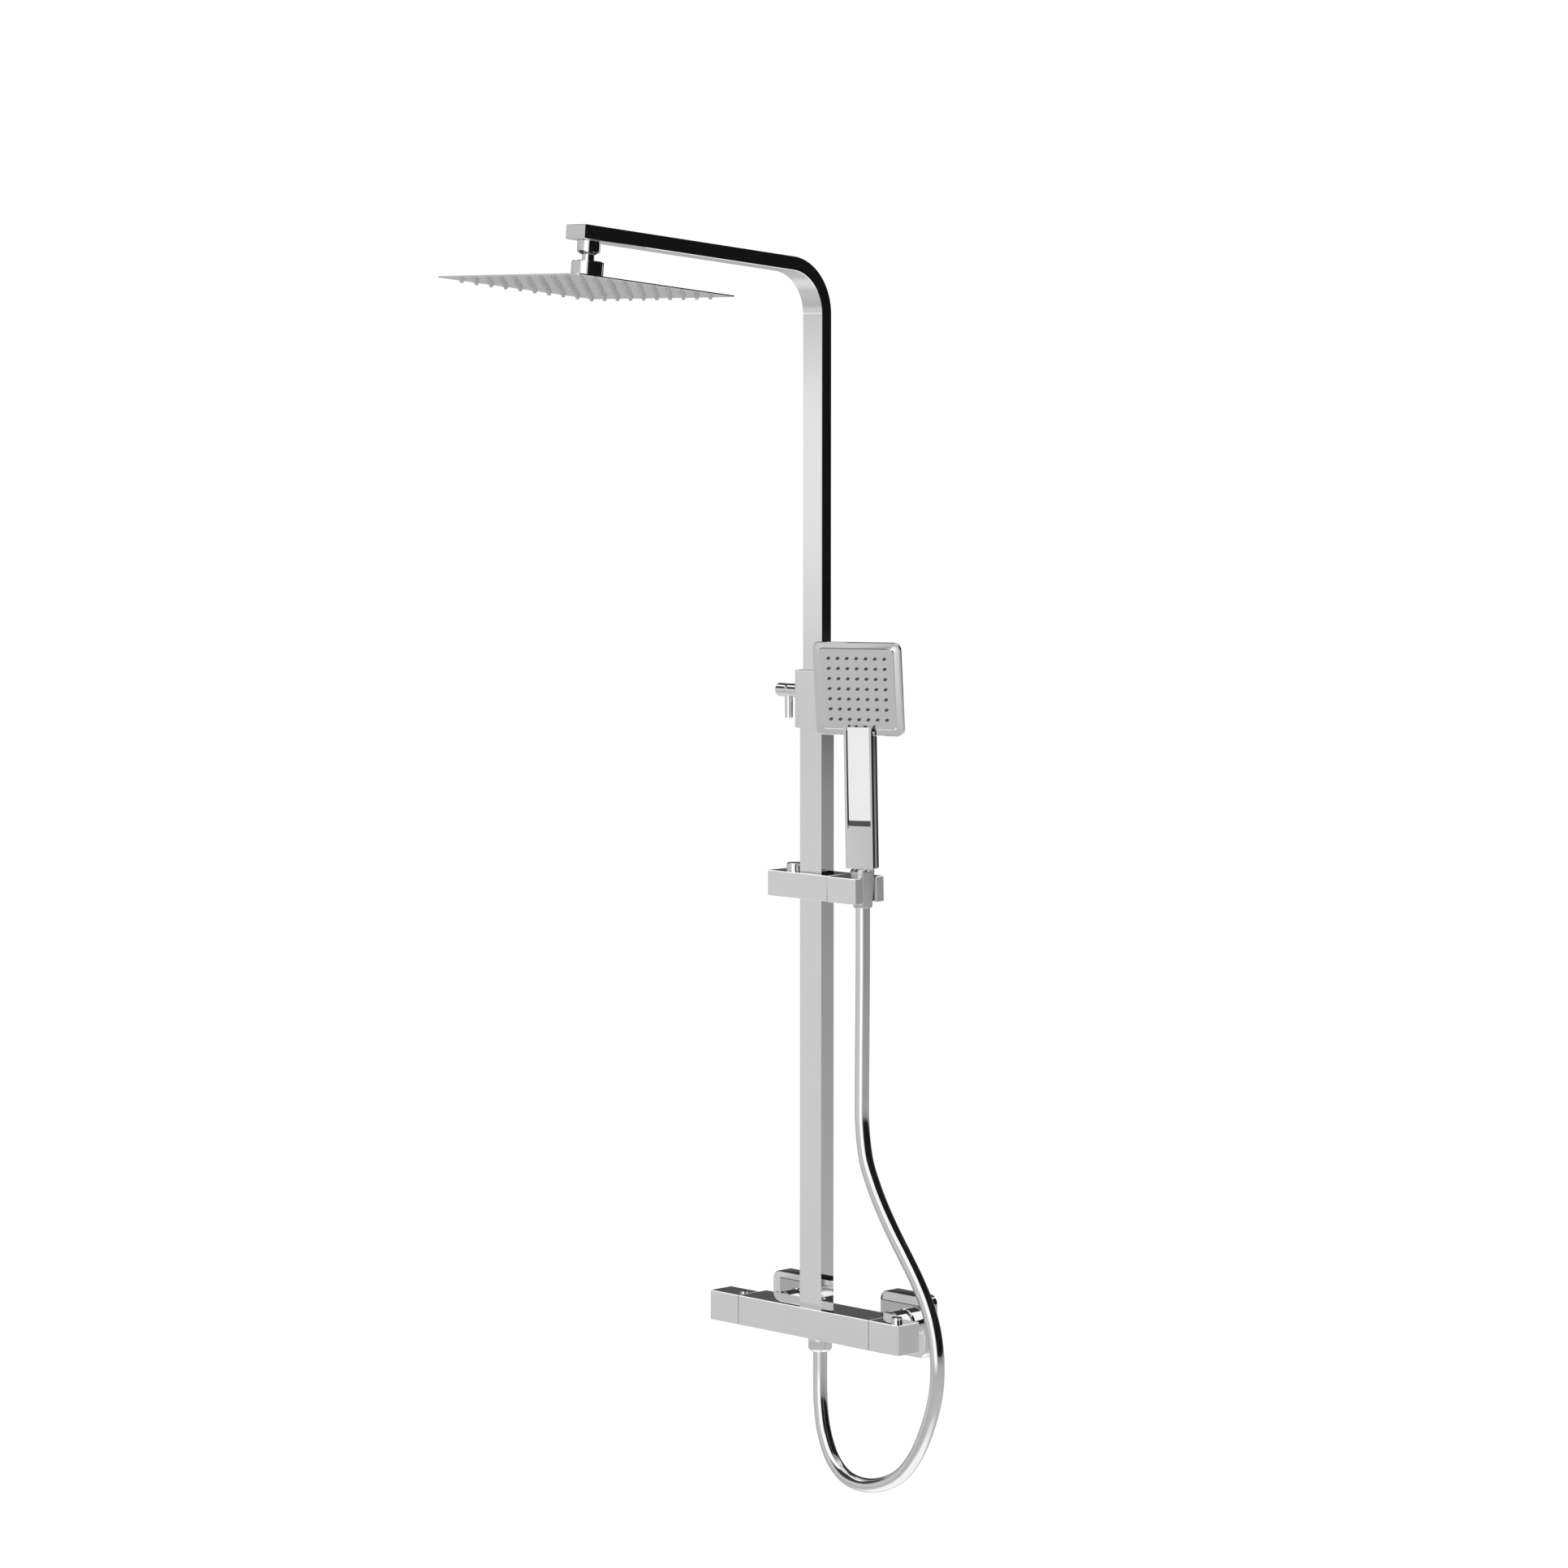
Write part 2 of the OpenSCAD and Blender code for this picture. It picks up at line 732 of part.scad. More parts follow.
module head_strainer() {
    color("dimgray") at_head() difference() {
        ring(-35.2, -33.4, 8.9, 1.2);
        for (a = [0:60:300]) rotate([0, 0, a]) translate([5.2, 0, -36]) cylinder(h = 4, r = 1.5, $fn = 16);
    }
}

// Shallow hollow cover over the plate, highest round the socket nut
module head_cover() {
    color("silver") at_head() translate([0, 0, plate_top]) difference() {
        hull() {
            translate([0, 0, snug]) linear_extrude(cover_edge) rounded(cover_w_head, cover_w_head, 5);
            translate([0, 0, cover_rise - 0.4]) cylinder(h = 0.4, r = 22, $fn = 32);
        }
        hull() {
            translate([0, 0, -0.1]) linear_extrude(0.1 + mat_t + 0.1)
                square(cover_w_head - 4, center = true);
            translate([0, 0, cover_rise - 1.4]) cylinder(h = 0.2, r = 18, $fn = 32);
        }
        translate([0, 0, cover_rise - 3]) cylinder(h = 5, r = 5);
    }
}

module head_plate() {
    color("silver") at_head() translate([0, 0, -head_drop]) difference() {
        linear_extrude(plate_t) rounded(head_w, head_w, 5);
        grid(head_n, head_pitch) translate([0, 0, -1]) cylinder(h = plate_t + 2, r = 2, $fn = 16);
    }
}

// Children repeated on a square grid about the origin
module grid(n, pitch) {
    start = -(n - 1) / 2 * pitch;
    for (i = [0:n - 1], j = [0:n - 1]) translate([start + i * pitch, start + j * pitch, 0]) children();
}

// One nozzle that hangs down: a straight shank, then a cone
module nozzle(shank_r, shank, tip_r, tip) {
    translate([0, 0, -shank]) cylinder(h = shank, r = shank_r, $fn = 16);
    translate([0, 0, -shank - tip]) cylinder(h = tip + snug, r1 = tip_r, r2 = shank_r, $fn = 16);
}

module head_nozzle_mat() {
    mat_w = (head_n - 1) * head_pitch + 6;
    color("lightgray") at_head() translate([0, 0, plate_top + snug]) {
        linear_extrude(mat_t) rounded(mat_w, mat_w, 3);
        grid(head_n, head_pitch) translate([0, 0, eps / 10]) nozzle(1.9, plate_t + 0.85, 1.2, 2.6);
    }
}

// ---------- slider ----------

module slider_body() {
    color("silver") difference() {
        bar_x(slider_left, slider_seam - 0.2, axis_y, slider_z, body_d, slider_h);
        translate([0, axis_y, slider_z]) linear_extrude(slider_h * 2, center = true)
            square([lower_w + 2 + 2 * snug, lower_d + 2 + 2 * snug], center = true);
        translate([release_x, release_y, slider_z - 7]) cylinder(h = slider_h, r = release_r + run);
        translate([0, axis_y, slider_z]) rod_along_x(17.8, slider_seam, 5);
    }
}

module slider_liner() {
    color("dimgray") translate([0, axis_y, slider_z]) linear_extrude(slider_h - 2.4, center = true)
        difference() {
            square([lower_w + 2, lower_d + 2], center = true);
            square([lower_w + 2 * run, lower_d + 2 * run], center = true);
        }
}

module slider_button() {
    top = slider_h / 2 + release_up;
    color("silver") translate([release_x, release_y, slider_z]) {
        translate([0, 0, 3]) cylinder(h = top - 4, r = release_r);
        translate([0, 0, top - 1 - snug]) cylinder(h = 1 + snug, r1 = release_r, r2 = release_r - 1);
    }
}

module slider_button_spring() {
    color("gray") translate([release_x, release_y, slider_z])
        coil_spring(5.5, 0.6, -7 + snug, 3 - snug, 4);
}

module holder_pivot_pin() {
    color("goldenrod") translate([0, axis_y, slider_z]) rod_along_x(18, 46, 5 - snug);
}

// Fork with a conical seat, open on the right so that the hose can pass
module holder_fork() {
    mid = cone_drop;
    color("silver") at_holder() difference() {
        bar_x(slider_seam, fork_right, 0, 0, body_d, slider_h);
        rod_along_x(slider_seam - eps, 46.3, 5 + run - snug);
        translate([cone_x, 0, -mid]) cylinder(h = cone_h, r1 = cone_low_r + run, r2 = cone_top_r + run);
        translate([cone_x, 0, -mid + cone_h - snug]) cylinder(h = 10, r = cone_top_r + run);
        translate([cone_x, -9.6, -slider_h]) cube([20, 19.2, 2 * slider_h]);
    }
}

// ---------- hand shower, drawn in its own frame: Z = 0 is the underside of the cone nut ----------

module cone_nut() {
    color("silver") at_handset() difference() {
        union() {
            cylinder(h = cone_h, r1 = cone_low_r, r2 = cone_top_r);
            translate([0, 0, cone_h - snug]) cylinder(h = 3, r = cone_top_r);
            translate([0, 0, 36 - 2 * snug]) cylinder(h = 2, r1 = cone_top_r, r2 = 9.6);
        }
        translate([0, 0, 18]) cylinder(h = 30, r = 8);
        translate([0, 0, -eps]) cylinder(h = 30, r = 5);
    }
}

module hose_washer() {
    color("black") at_handset() ring(18 + snug, 20, 7.9, 5);
}

module handset_handle() {
    color("silver") at_handset() difference() {
        union() {
            block(grip_low, grip_top, grip_w, grip_d, 0.8);
            translate([0, 0, 20 + snug]) cylinder(h = 19, r = 8 - snug);
        }
        // bed of the front panel, and the ramp below it
        translate([-11.8, -grip_d / 2 - eps, panel_low]) cube([24.4, panel_t + eps, grip_top]);
        translate([0.4, -grip_d / 2, panel_low]) rotate([90, 0, 90]) linear_extrude(24.4, center = true)
            polygon([[-1, -5.2], [0, -4.7], [panel_t, 0], [panel_t, 1], [-1, 1]]);
        tongue_cut();
        // the spray head is let into the top of the handle, and its tenon goes down inside
        translate([0, spray_y, spray_z]) rotate([spray_lean, 0, 0]) {
            translate([-50, tongue_y, -spray_h / 2 - 0.1]) cube([100, 30, spray_h]);
            translate([-9, 0.6, -spray_h / 2 - 12]) cube([18, 5, 14]);
        }
        cylinder(h = 156, r = 4);
    }
}

// Space above the slanting end of the handle's tongue
module tongue_cut() {
    translate([0, -grip_d / 2, 0]) rotate([90, 0, 90]) linear_extrude(2 * grip_w, center = true)
        polygon([[-1, grip_top + 1.3], [0, grip_top], [grip_d / 2, tongue_low], [grip_d / 2, grip_top + 9],
                 [-1, grip_top + 9]]);
}

// Sloping front panel; it overlaps the lower edge of the spray head
module handset_panel() {
    color("white") at_handset() difference() {
        translate([0.4, -grip_d / 2, 0]) rotate([90, 0, 90]) linear_extrude(24.2, center = true)
            polygon([[0.9, panel_low + 0.2], [panel_t - snug, panel_low + 0.2],
                     [panel_t - snug, grip_top + 2], [-0.1, grip_top + 2]]);
        tongue_cut();
    }
}

module handset_head_shell() {
    color("silver") at_spray() difference() {
        union() {
            translate([0, 3.6, 0]) rotate([90, 0, 0]) linear_extrude(2.4) rounded(spray_w, spray_h, 7);
            translate([-9 + snug, 0.6 + snug, -spray_h / 2 - 12 + snug])
                cube([18 - 2 * snug, 5 - 2 * snug, 14]);
            hull() {
                translate([0, 3.6, 0]) rotate([90, 0, 0]) linear_extrude(0.5)
                    rounded(spray_w - 4, spray_h - 4, 6);
                translate([0, 9, 0]) rotate([90, 0, 0]) linear_extrude(0.5)
                    rounded(spray_w - 34, spray_h - 34, 6);
            }
        }
        translate([0, 2.4, 0]) rotate([90, 0, 0]) linear_extrude(3) rounded(spray_w - 6, spray_h - 6, 5);
        translate([0, 1.2, 0]) rotate([90, 0, 0]) linear_extrude(3) rounded(spray_w + 2, spray_h + 2, 7);
        translate([-5, 1.4, -spray_h / 2 - 14]) cube([10, 1, 20]);
        hull() {
            translate([0, 2.8, 0]) rotate([90, 0, 0]) linear_extrude(0.5)
                rounded(spray_w - 10, spray_h - 10, 5);
            translate([0, 7.2, 0]) rotate([90, 0, 0]) linear_extrude(0.5)
                rounded(spray_w - 40, spray_h - 40, 5);
        }
    }
}

module handset_face_plate() {
    color("silver") at_spray() rotate([90, 0, 0]) difference() {
        union() {
            translate([0, 0, -1.2 + snug]) linear_extrude(1.2) rounded(spray_w, spray_h, 7);
            linear_extrude(0.7) rounded(spray_w - 14, spray_h - 12, 4);
        }
        grid(spray_n, spray_pitch) translate([0, 0, -3]) cylinder(h = 6, r = 1.8, $fn = 16);
        // room for the tongue of the handle
        translate([0, -spray_h / 2, 5 + snug]) cube([grip_w + 0.4, 19.4, 10], center = true);
    }
}

module handset_nozzle_mat() {
    mat_w = (spray_n - 1) * spray_pitch + 6;
    color("lightgray") at_spray() rotate([90, 0, 0]) translate([0, 0, -1.2]) {
        translate([0, 0, -0.8]) linear_extrude(0.8) rounded(mat_w, mat_w, 3);
        grid(spray_n, spray_pitch) mirror([0, 0, 1]) translate([0, 0, 0.4]) nozzle(1.7, 3, 1.1, 1.4);
    }
}

mixer_body();
hot_wall_union();
cold_wall_union();
hot_escutcheon();
cold_escutcheon();
hot_union_nut();
cold_union_nut();
inlet_filter_washers();
check_valves();
thermostatic_cartridge();
diverter_cartridge();
cartridge_retaining_nuts();
temperature_knob();
temperature_spindle();
temperature_stop_button();
temperature_button_spring();
flow_knob();
flow_spindle();
flow_button();
flow_button_spring();
hose_outlet_nipple();
outlet_hose_nut();
hose_tube();
lower_riser_tube();
riser_foot_plug();
riser_o_rings();
telescopic_collar();
collar_liner();
lock_lever_drum();
lock_lever_rod();
wall_bracket_post();
wall_bracket_plate();
bracket_screws();
upper_riser_arm();
riser_piston();
piston_seals();
arm_end_cap();
head_nipple();
ball_nut();
ball_stem();
upper_ball_seat();
lower_ball_seat();
socket_nut();
head_strainer();
head_cover();
head_plate();
head_nozzle_mat();
slider_body();
slider_liner();
slider_button();
slider_button_spring();
holder_pivot_pin();
holder_fork();
cone_nut();
hose_washer();
handset_handle();
handset_panel();
handset_head_shell();
handset_face_plate();
handset_nozzle_mat();
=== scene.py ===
import bpy
import bmesh
import math
from mathutils import Matrix, Vector


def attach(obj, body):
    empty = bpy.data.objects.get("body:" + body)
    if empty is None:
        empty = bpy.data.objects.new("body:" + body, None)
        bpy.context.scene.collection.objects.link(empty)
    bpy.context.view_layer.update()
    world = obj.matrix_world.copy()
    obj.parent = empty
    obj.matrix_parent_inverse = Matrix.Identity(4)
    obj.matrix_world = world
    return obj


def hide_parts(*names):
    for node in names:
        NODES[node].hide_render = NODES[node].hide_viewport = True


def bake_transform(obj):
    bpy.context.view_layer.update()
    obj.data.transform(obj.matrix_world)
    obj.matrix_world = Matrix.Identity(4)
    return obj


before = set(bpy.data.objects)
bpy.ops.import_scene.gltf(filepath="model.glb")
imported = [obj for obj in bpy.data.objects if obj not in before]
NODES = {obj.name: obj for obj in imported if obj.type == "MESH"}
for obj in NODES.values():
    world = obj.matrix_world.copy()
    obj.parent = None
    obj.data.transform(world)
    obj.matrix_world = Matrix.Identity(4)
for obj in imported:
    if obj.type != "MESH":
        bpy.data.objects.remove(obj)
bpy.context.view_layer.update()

# Shapes are written in millimetres, and add() turns them into the scene's metres.
MM = 0.001

# depths from the wall
AXIS_Y = -61.0
KNOB_Y = -66.0
OUTLET_Y = -56.0

# places along the mixer and the riser
INLET_X = 75.0
TEMPERATURE_BUTTON_X = -97
FLOW_BUTTON_X = 114.5
LEVER_Z = 617
BRACKET_Z = 610
HOLDER_Z = 428.8
RELEASE_X, RELEASE_Y = -29.5, -62
SEAT_X, SEAT_FOOT = 62.5, -17.2

# riser, arm and head
ARM_ANGLE = 84.7
BEND_RADIUS = 48.4
ARM_LENGTH = 269.5
TUBE = (26.0, 13.4, 0.5)
CAP_TUBE = (25.4, 12.8)
HEAD_SIZE = 196

# hand shower handle: half depth, slanting top end, bed of the front panel
HANDLE_Y = 6.8
TOP_FOOT = 166.2
SLANT = 9.1 / HANDLE_Y
BED_LEFT, BED_RIGHT = -11.8, 12.6


# ---------- frames of the inclined parts ----------

def move(x, y, z):
    return Matrix.Translation((x, y, z))


def turn(degrees, axis):
    return Matrix.Rotation(math.radians(degrees), 4, axis)


IDENTITY = Matrix.Identity(4)
ARM_START = move(0, -109.4, 981)
AT_ARM = ARM_START @ turn(ARM_ANGLE, "X") @ move(0, BEND_RADIUS, 0)
AT_HEAD = AT_ARM @ move(0, -6.7, 252.8) @ turn(-90, "X")
AT_HOLDER = move(0, AXIS_Y, HOLDER_Z) @ turn(1.4, "X")
AT_HANDSET = AT_HOLDER @ move(SEAT_X, 0, SEAT_FOOT) @ turn(19.6, "Z")
AT_SPRAY = AT_HANDSET @ move(0, -3.5, 211.4) @ turn(4.3, "X")
ON_AXIS = move(0, AXIS_Y, 0)


def along_x(x=0, y=0, z=0):
    """Local Z becomes the world's +X."""
    return move(x, y, z) @ turn(90, "Y")


def along_y(x=0, y=0, z=0):
    """Local Z becomes the world's +Y."""
    return move(x, y, z) @ turn(-90, "X")


# ---------- outlines and rings ----------

def round_rect(w, h, r, n=6):
    """Rectangle with round corners; with n = 1 they are chamfers."""
    points = []
    for cx, cy, a0 in ((1, -1, -90), (1, 1, 0), (-1, 1, 90), (-1, -1, 180)):
        for i in range(n + 1):
            a = math.radians(a0 + 90 * i / n)
            points.append((cx * (w / 2 - r) + r * math.cos(a), cy * (h / 2 - r) + r * math.sin(a)))
    return points


def circle(r, n=64):
    return [(r * math.cos(2 * math.pi * i / n), r * math.sin(2 * math.pi * i / n)) for i in range(n)]


def flat(outline, z):
    return [(x, y, z) for x, y in outline]


def level(w, h, r, z, n=8):
    """Rounded rectangle that lies at one Z."""
    return flat(round_rect(w, h, r, n), z)


def upright(w, h, r, y, n=8):
    """Rounded rectangle that stands at one Y."""
    return [(x, y, z) for x, z in round_rect(w, h, r, n)]


def across(stops, r=0.6):
    """Chamfered rectangles across X from (x, depth, height) triples."""
    return [[(x, y, z) for y, z in round_rect(d, h, r, 1)] for x, d, h in stops]


def lathe(profile, n=64):
    """Rings about Z from (radius, z) pairs."""
    return [flat(circle(r, n), z) for r, z in profile]


def arc(r, centre_z, first, last, steps):
    """(radius, z) pairs on a sphere about a point of the axis, between two elevations in degrees."""
    angles = [math.radians(first + (last - first) * i / steps) for i in range(steps + 1)]
    return [(r * math.cos(a), centre_z + r * math.sin(a)) for a in angles]


# ---------- meshes and pieces ----------

def add(bm, rings, matrix=IDENTITY, closed=False, caps=(True, True)):
    """Skins rings that have the same number of points; a closed one joins the last ring to the first."""
    made = [[bm.verts.new((matrix @ Vector(p)) * MM) for p in ring] for ring in rings]
    n = len(made[0])
    pairs = list(zip(made, made[1:]))
    if closed:
        pairs.append((made[-1], made[0]))
    for a, b in pairs:
        for i in range(n):
            j = (i + 1) % n
            bm.faces.new((a[i], a[j], b[j], b[i]))
    if not closed:
        if caps[0]:
            bm.faces.new(list(reversed(made[0])))
        if caps[1]:
            bm.faces.new(made[-1])
    return made


def link(name, data):
    obj = bpy.data.objects.new(name, data)
    bpy.context.scene.collection.objects.link(obj)
    return obj


def smooth_mesh(name, bm, material, sharp):
    """Smooth-shaded mesh in which the edges above an angle, in degrees, stay sharp."""
    mesh = bpy.data.meshes.new(name)
    bm.to_mesh(mesh)
    bm.free()
    mesh.shade_smooth()
    mesh.set_sharp_from_angle(angle=math.radians(sharp))
    mesh.materials.append(material)
    return mesh


def piece(name, bm, body, material, nodes=(), bevel=0.0, angle=40):
    """A finished mesh that rides on a body. Edges sharper than the angle get a flat bevel, in millimetres."""
    bmesh.ops.remove_doubles(bm, verts=bm.verts, dist=1e-6)
    bmesh.ops.recalc_face_normals(bm, faces=bm.faces)
    if bevel:
        edges = [e for e in bm.edges if len(e.link_faces) == 2 and e.calc_face_angle() > math.radians(angle)]
        bmesh.ops.bevel(bm, geom=edges, offset=bevel * MM, segments=1, profile=0.5, affect="EDGES",
                        clamp_overlap=True)
    obj = link(name, smooth_mesh(name, bm, material, 20))
    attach(obj, body)
    if nodes:
        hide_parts(*nodes)
    return obj


def skin(name, rings, matrix, body, material, nodes=(), closed=False, bevel=0.0, angle=40):
    """A piece that is one skin over its rings."""
    bm = bmesh.new()
    add(bm, rings, matrix, closed=closed)
    return piece(name, bm, body, material, nodes, bevel, angle)


# ---------- hose line ----------

def smooth_route(points, steps):
    """Catmull-Rom curve through the points."""
    made = []
    p = [Vector(q) for q in points]
    for i in range(len(p) - 1):
        a, b, c, d = p[max(i - 1, 0)], p[i], p[i + 1], p[min(i + 2, len(p) - 1)]
        for s in range(steps):
            t = s / steps
            made.append(0.5 * (2 * b + (c - a) * t + (2 * a - 5 * b + 4 * c - d) * t * t
                               + (3 * b - a - 3 * c + d) * t ** 3))
    made.append(p[-1])
    return made


def even(points, step):
    """The same line with its points spaced evenly."""
    lengths = [0.0]
    for a, b in zip(points, points[1:]):
        lengths.append(lengths[-1] + (b - a).length)
    count = max(2, round(lengths[-1] / step))
    made, k = [], 0
    for i in range(count + 1):
        want = lengths[-1] * i / count
        while k < len(points) - 2 and lengths[k + 1] < want:
            k += 1
        span = lengths[k + 1] - lengths[k]
        made.append(points[k].lerp(points[k + 1], (want - lengths[k]) / span if span else 0))
    return made


def tube_rings(points, r, n, hint):
    """Rings square to the line; the hint is a direction that the line never takes."""
    rings = []
    for i, p in enumerate(points):
        h = (points[min(i + 1, len(points) - 1)] - points[max(i - 1, 0)]).normalized()
        a = (Vector(hint) - h * h.dot(Vector(hint))).normalized()
        b = h.cross(a)
        rings.append([tuple(p + r * (math.cos(2 * math.pi * k / n) * a + math.sin(2 * math.pi * k / n) * b))
                      for k in range(n)])
    return rings


# ---------- materials ----------

def base_material(name, colour, metallic, roughness, ior=1.5):
    mat = bpy.data.materials.new(name)
    mat.use_nodes = True
    nt = mat.node_tree
    shader = nt.nodes["Principled BSDF"]
    shader.inputs["Base Color"].default_value = (*colour, 1)
    shader.inputs["Metallic"].default_value = metallic
    shader.inputs["Roughness"].default_value = roughness
    shader.inputs["IOR"].default_value = ior
    return mat, nt, shader


def coordinates(nt):
    return nt.nodes.new("ShaderNodeTexCoord").outputs["Object"]


def noise(nt, vector, scale, detail=3.0, rough=0.5):
    n = nt.nodes.new("ShaderNodeTexNoise")
    n.inputs["Scale"].default_value = scale
    n.inputs["Detail"].default_value = detail
    n.inputs["Roughness"].default_value = rough
    nt.links.new(vector, n.inputs["Vector"])
    return n.outputs["Fac"]


# the middle part of a noise's range, which the two functions below stretch
NOISE_LOW, NOISE_HIGH = 0.3, 0.7


def spread(nt, value, low, high):
    m = nt.nodes.new("ShaderNodeMapRange")
    m.inputs["From Min"].default_value = NOISE_LOW
    m.inputs["From Max"].default_value = NOISE_HIGH
    m.inputs["To Min"].default_value = low
    m.inputs["To Max"].default_value = high
    nt.links.new(value, m.inputs["Value"])
    return m.outputs["Result"]


def two_tone(nt, value, dark, light):
    node = nt.nodes.new("ShaderNodeValToRGB")
    for element, position, colour in zip(node.color_ramp.elements, (NOISE_LOW, NOISE_HIGH), (dark, light)):
        element.position = position
        element.color = (*colour, 1)
    nt.links.new(value, node.inputs["Fac"])
    return node.outputs["Color"]


def bump(nt, shader, height, strength, distance):
    b = nt.nodes.new("ShaderNodeBump")
    b.inputs["Strength"].default_value = strength
    b.inputs["Distance"].default_value = distance
    nt.links.new(height, b.inputs["Height"])
    nt.links.new(b.outputs["Normal"], shader.inputs["Normal"])


def chrome(name, light, dark, rough_low, rough_high, wave):
    """Mirror plating: faint polishing haze in the roughness, and a very slight unevenness."""
    mat, nt, shader = base_material(name, light, 1.0, rough_low)
    where = coordinates(nt)
    haze = noise(nt, where, 38.0, 4.0, 0.6)
    nt.links.new(spread(nt, haze, rough_low, rough_high), shader.inputs["Roughness"])
    nt.links.new(two_tone(nt, noise(nt, where, 14.0, 2.0), dark, light), shader.inputs["Base Color"])
    bump(nt, shader, noise(nt, where, 55.0, 1.0), wave, 0.0001)
    return mat


def plain(name, light, dark, metallic, rough_low, rough_high, scale, strength, ior=1.5):
    """Unplated metal, plastic or rubber with a fine grain in its colour, roughness and surface."""
    mat, nt, shader = base_material(name, light, metallic, rough_low, ior)
    where = coordinates(nt)
    grain = noise(nt, where, scale, 5.0, 0.6)
    nt.links.new(spread(nt, grain, rough_low, rough_high), shader.inputs["Roughness"])
    nt.links.new(two_tone(nt, noise(nt, where, scale * 0.3, 3.0), dark, light), shader.inputs["Base Color"])
    bump(nt, shader, grain, strength, 0.0002)
    return mat


CHROME = chrome("chrome_brass", (0.93, 0.93, 0.935), (0.91, 0.91, 0.915), 0.02, 0.05, 0.02)
CHROME_STEEL = chrome("chrome_steel", (0.92, 0.92, 0.925), (0.90, 0.90, 0.905), 0.03, 0.06, 0.03)
CHROME_PLASTIC = chrome("chrome_plastic", (0.93, 0.93, 0.94), (0.91, 0.91, 0.92), 0.025, 0.055, 0.04)
SATIN = chrome("chrome_satin", (0.72, 0.72, 0.73), (0.66, 0.66, 0.67), 0.16, 0.22, 0.03)
HOSE = chrome("silver_vinyl", (0.88, 0.88, 0.89), (0.84, 0.84, 0.85), 0.06, 0.11, 0.10)
BLACK_GLOSS = plain("black_gloss", (0.012, 0.012, 0.013), (0.007, 0.007, 0.008), 0.0, 0.10, 0.18, 60.0,
                    0.03, ior=1.25)
# painted shade: dark finish of the step below the handle's front panel
PAINTED_STEP_SHADE = plain("painted_step_shade", (0.045, 0.045, 0.047), (0.036, 0.036, 0.038), 0.0, 0.22, 0.32, 60.0, 0.03)
SILICONE = plain("silicone", (0.50, 0.50, 0.51), (0.42, 0.42, 0.43), 0.35, 0.26, 0.36, 220.0, 0.15)
# nearly black silicone, whose dark is painted shade for the bores and shaded sides of the spray nozzles
SILICONE_PAINTED_SHADE = plain("silicone_painted_shade", (0.055, 0.055, 0.057), (0.035, 0.035, 0.037), 0.0, 0.35, 0.5, 220.0,
                      0.15)
RUBBER = plain("rubber", (0.035, 0.035, 0.035), (0.02, 0.02, 0.02), 0.0, 0.55, 0.75, 300.0, 0.3)
BRASS = plain("brass", (0.72, 0.55, 0.28), (0.60, 0.44, 0.21), 1.0, 0.22, 0.36, 160.0, 0.12)
STEEL = plain("steel", (0.62, 0.62, 0.63), (0.52, 0.52, 0.53), 1.0, 0.22, 0.38, 180.0, 0.12)
DARK = plain("dark_acetal", (0.03, 0.03, 0.032), (0.02, 0.02, 0.022), 0.0, 0.45, 0.62, 260.0, 0.2)
WHITE = plain("white_acetal", (0.80, 0.80, 0.79), (0.72, 0.72, 0.71), 0.0, 0.35, 0.5, 240.0, 0.15)


# ---------- camera ----------

camera_data = bpy.data.cameras.new("camera")
camera_data.lens = 111.39
camera_data.sensor_width = 36
camera = link("camera", camera_data)
camera.location = (3.3234, -3.3780, 0.92295)
camera.rotation_euler = (math.radians(90 - 4.818), 0, math.radians(45.445))
bpy.context.scene.camera = camera


# ---------- hose ----------

ROUTE = [
    [62.5, -60.6, 411.4], [62.5, -60.6, 350], [62, -60.6, 290], [61.5, -60.5, 230],
    [62, -60.5, 200], [67, -60.5, 167], [77, -60.5, 143], [90, -60.5, 120], [105, -60.5, 98],
    [121, -60.5, 77], [137, -60.5, 55], [150, -60.5, 33], [159, -60.5, 9], [163, -60.5, -18],
    [161, -60, -48], [152, -60, -79], [135, -60, -113], [110, -59.5, -139], [75, -59, -153],
    [42, -58, -152], [20, -57.5, -137], [7, -57, -112], [1.5, -56.5, -85], [0, -56, -60],
    [0, -56, -31.2],
]
HOSE_RADIUS = 7.0
HOSE_CUT = Vector((62, -60.6, 305))


def hose_part(name, rings, caps):
    bm = bmesh.new()
    add(bm, rings, caps=caps)
    bmesh.ops.recalc_face_normals(bm, faces=bm.faces)
    obj = link(name, smooth_mesh(name, bm, HOSE, 40))
    return obj


hose_line = even(smooth_route(ROUTE, 16), 3.0)
hose_rings = tube_rings(hose_line, HOSE_RADIUS, 40, (0, 1, 0))
cut = min(range(len(hose_line)), key=lambda i: (hose_line[i] - HOSE_CUT).length)
hose_upper = hose_part("hose_upper", hose_rings[:cut + 1], (True, False))
hose_lower = hose_part("hose_lower", hose_rings[cut:], (False, True))
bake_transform(hose_upper)
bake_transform(hose_lower)
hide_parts("hose_tube")


# ---------- mixer ----------

bm = bmesh.new()
add(bm, across([(-89.9, 38.7, 29.2), (-89.75, 39, 29.5), (89.75, 39, 29.5), (89.9, 38.7, 29.2)]), ON_AXIS)
for x in (-INLET_X, INLET_X):
    add(bm, lathe([(9.5, -42), (9.5, -31.2), (12, -31.0), (12, -28)], 48), along_y(x))
piece("mixer_bar", bm, "fixed_column", CHROME, ["mixer_body"])


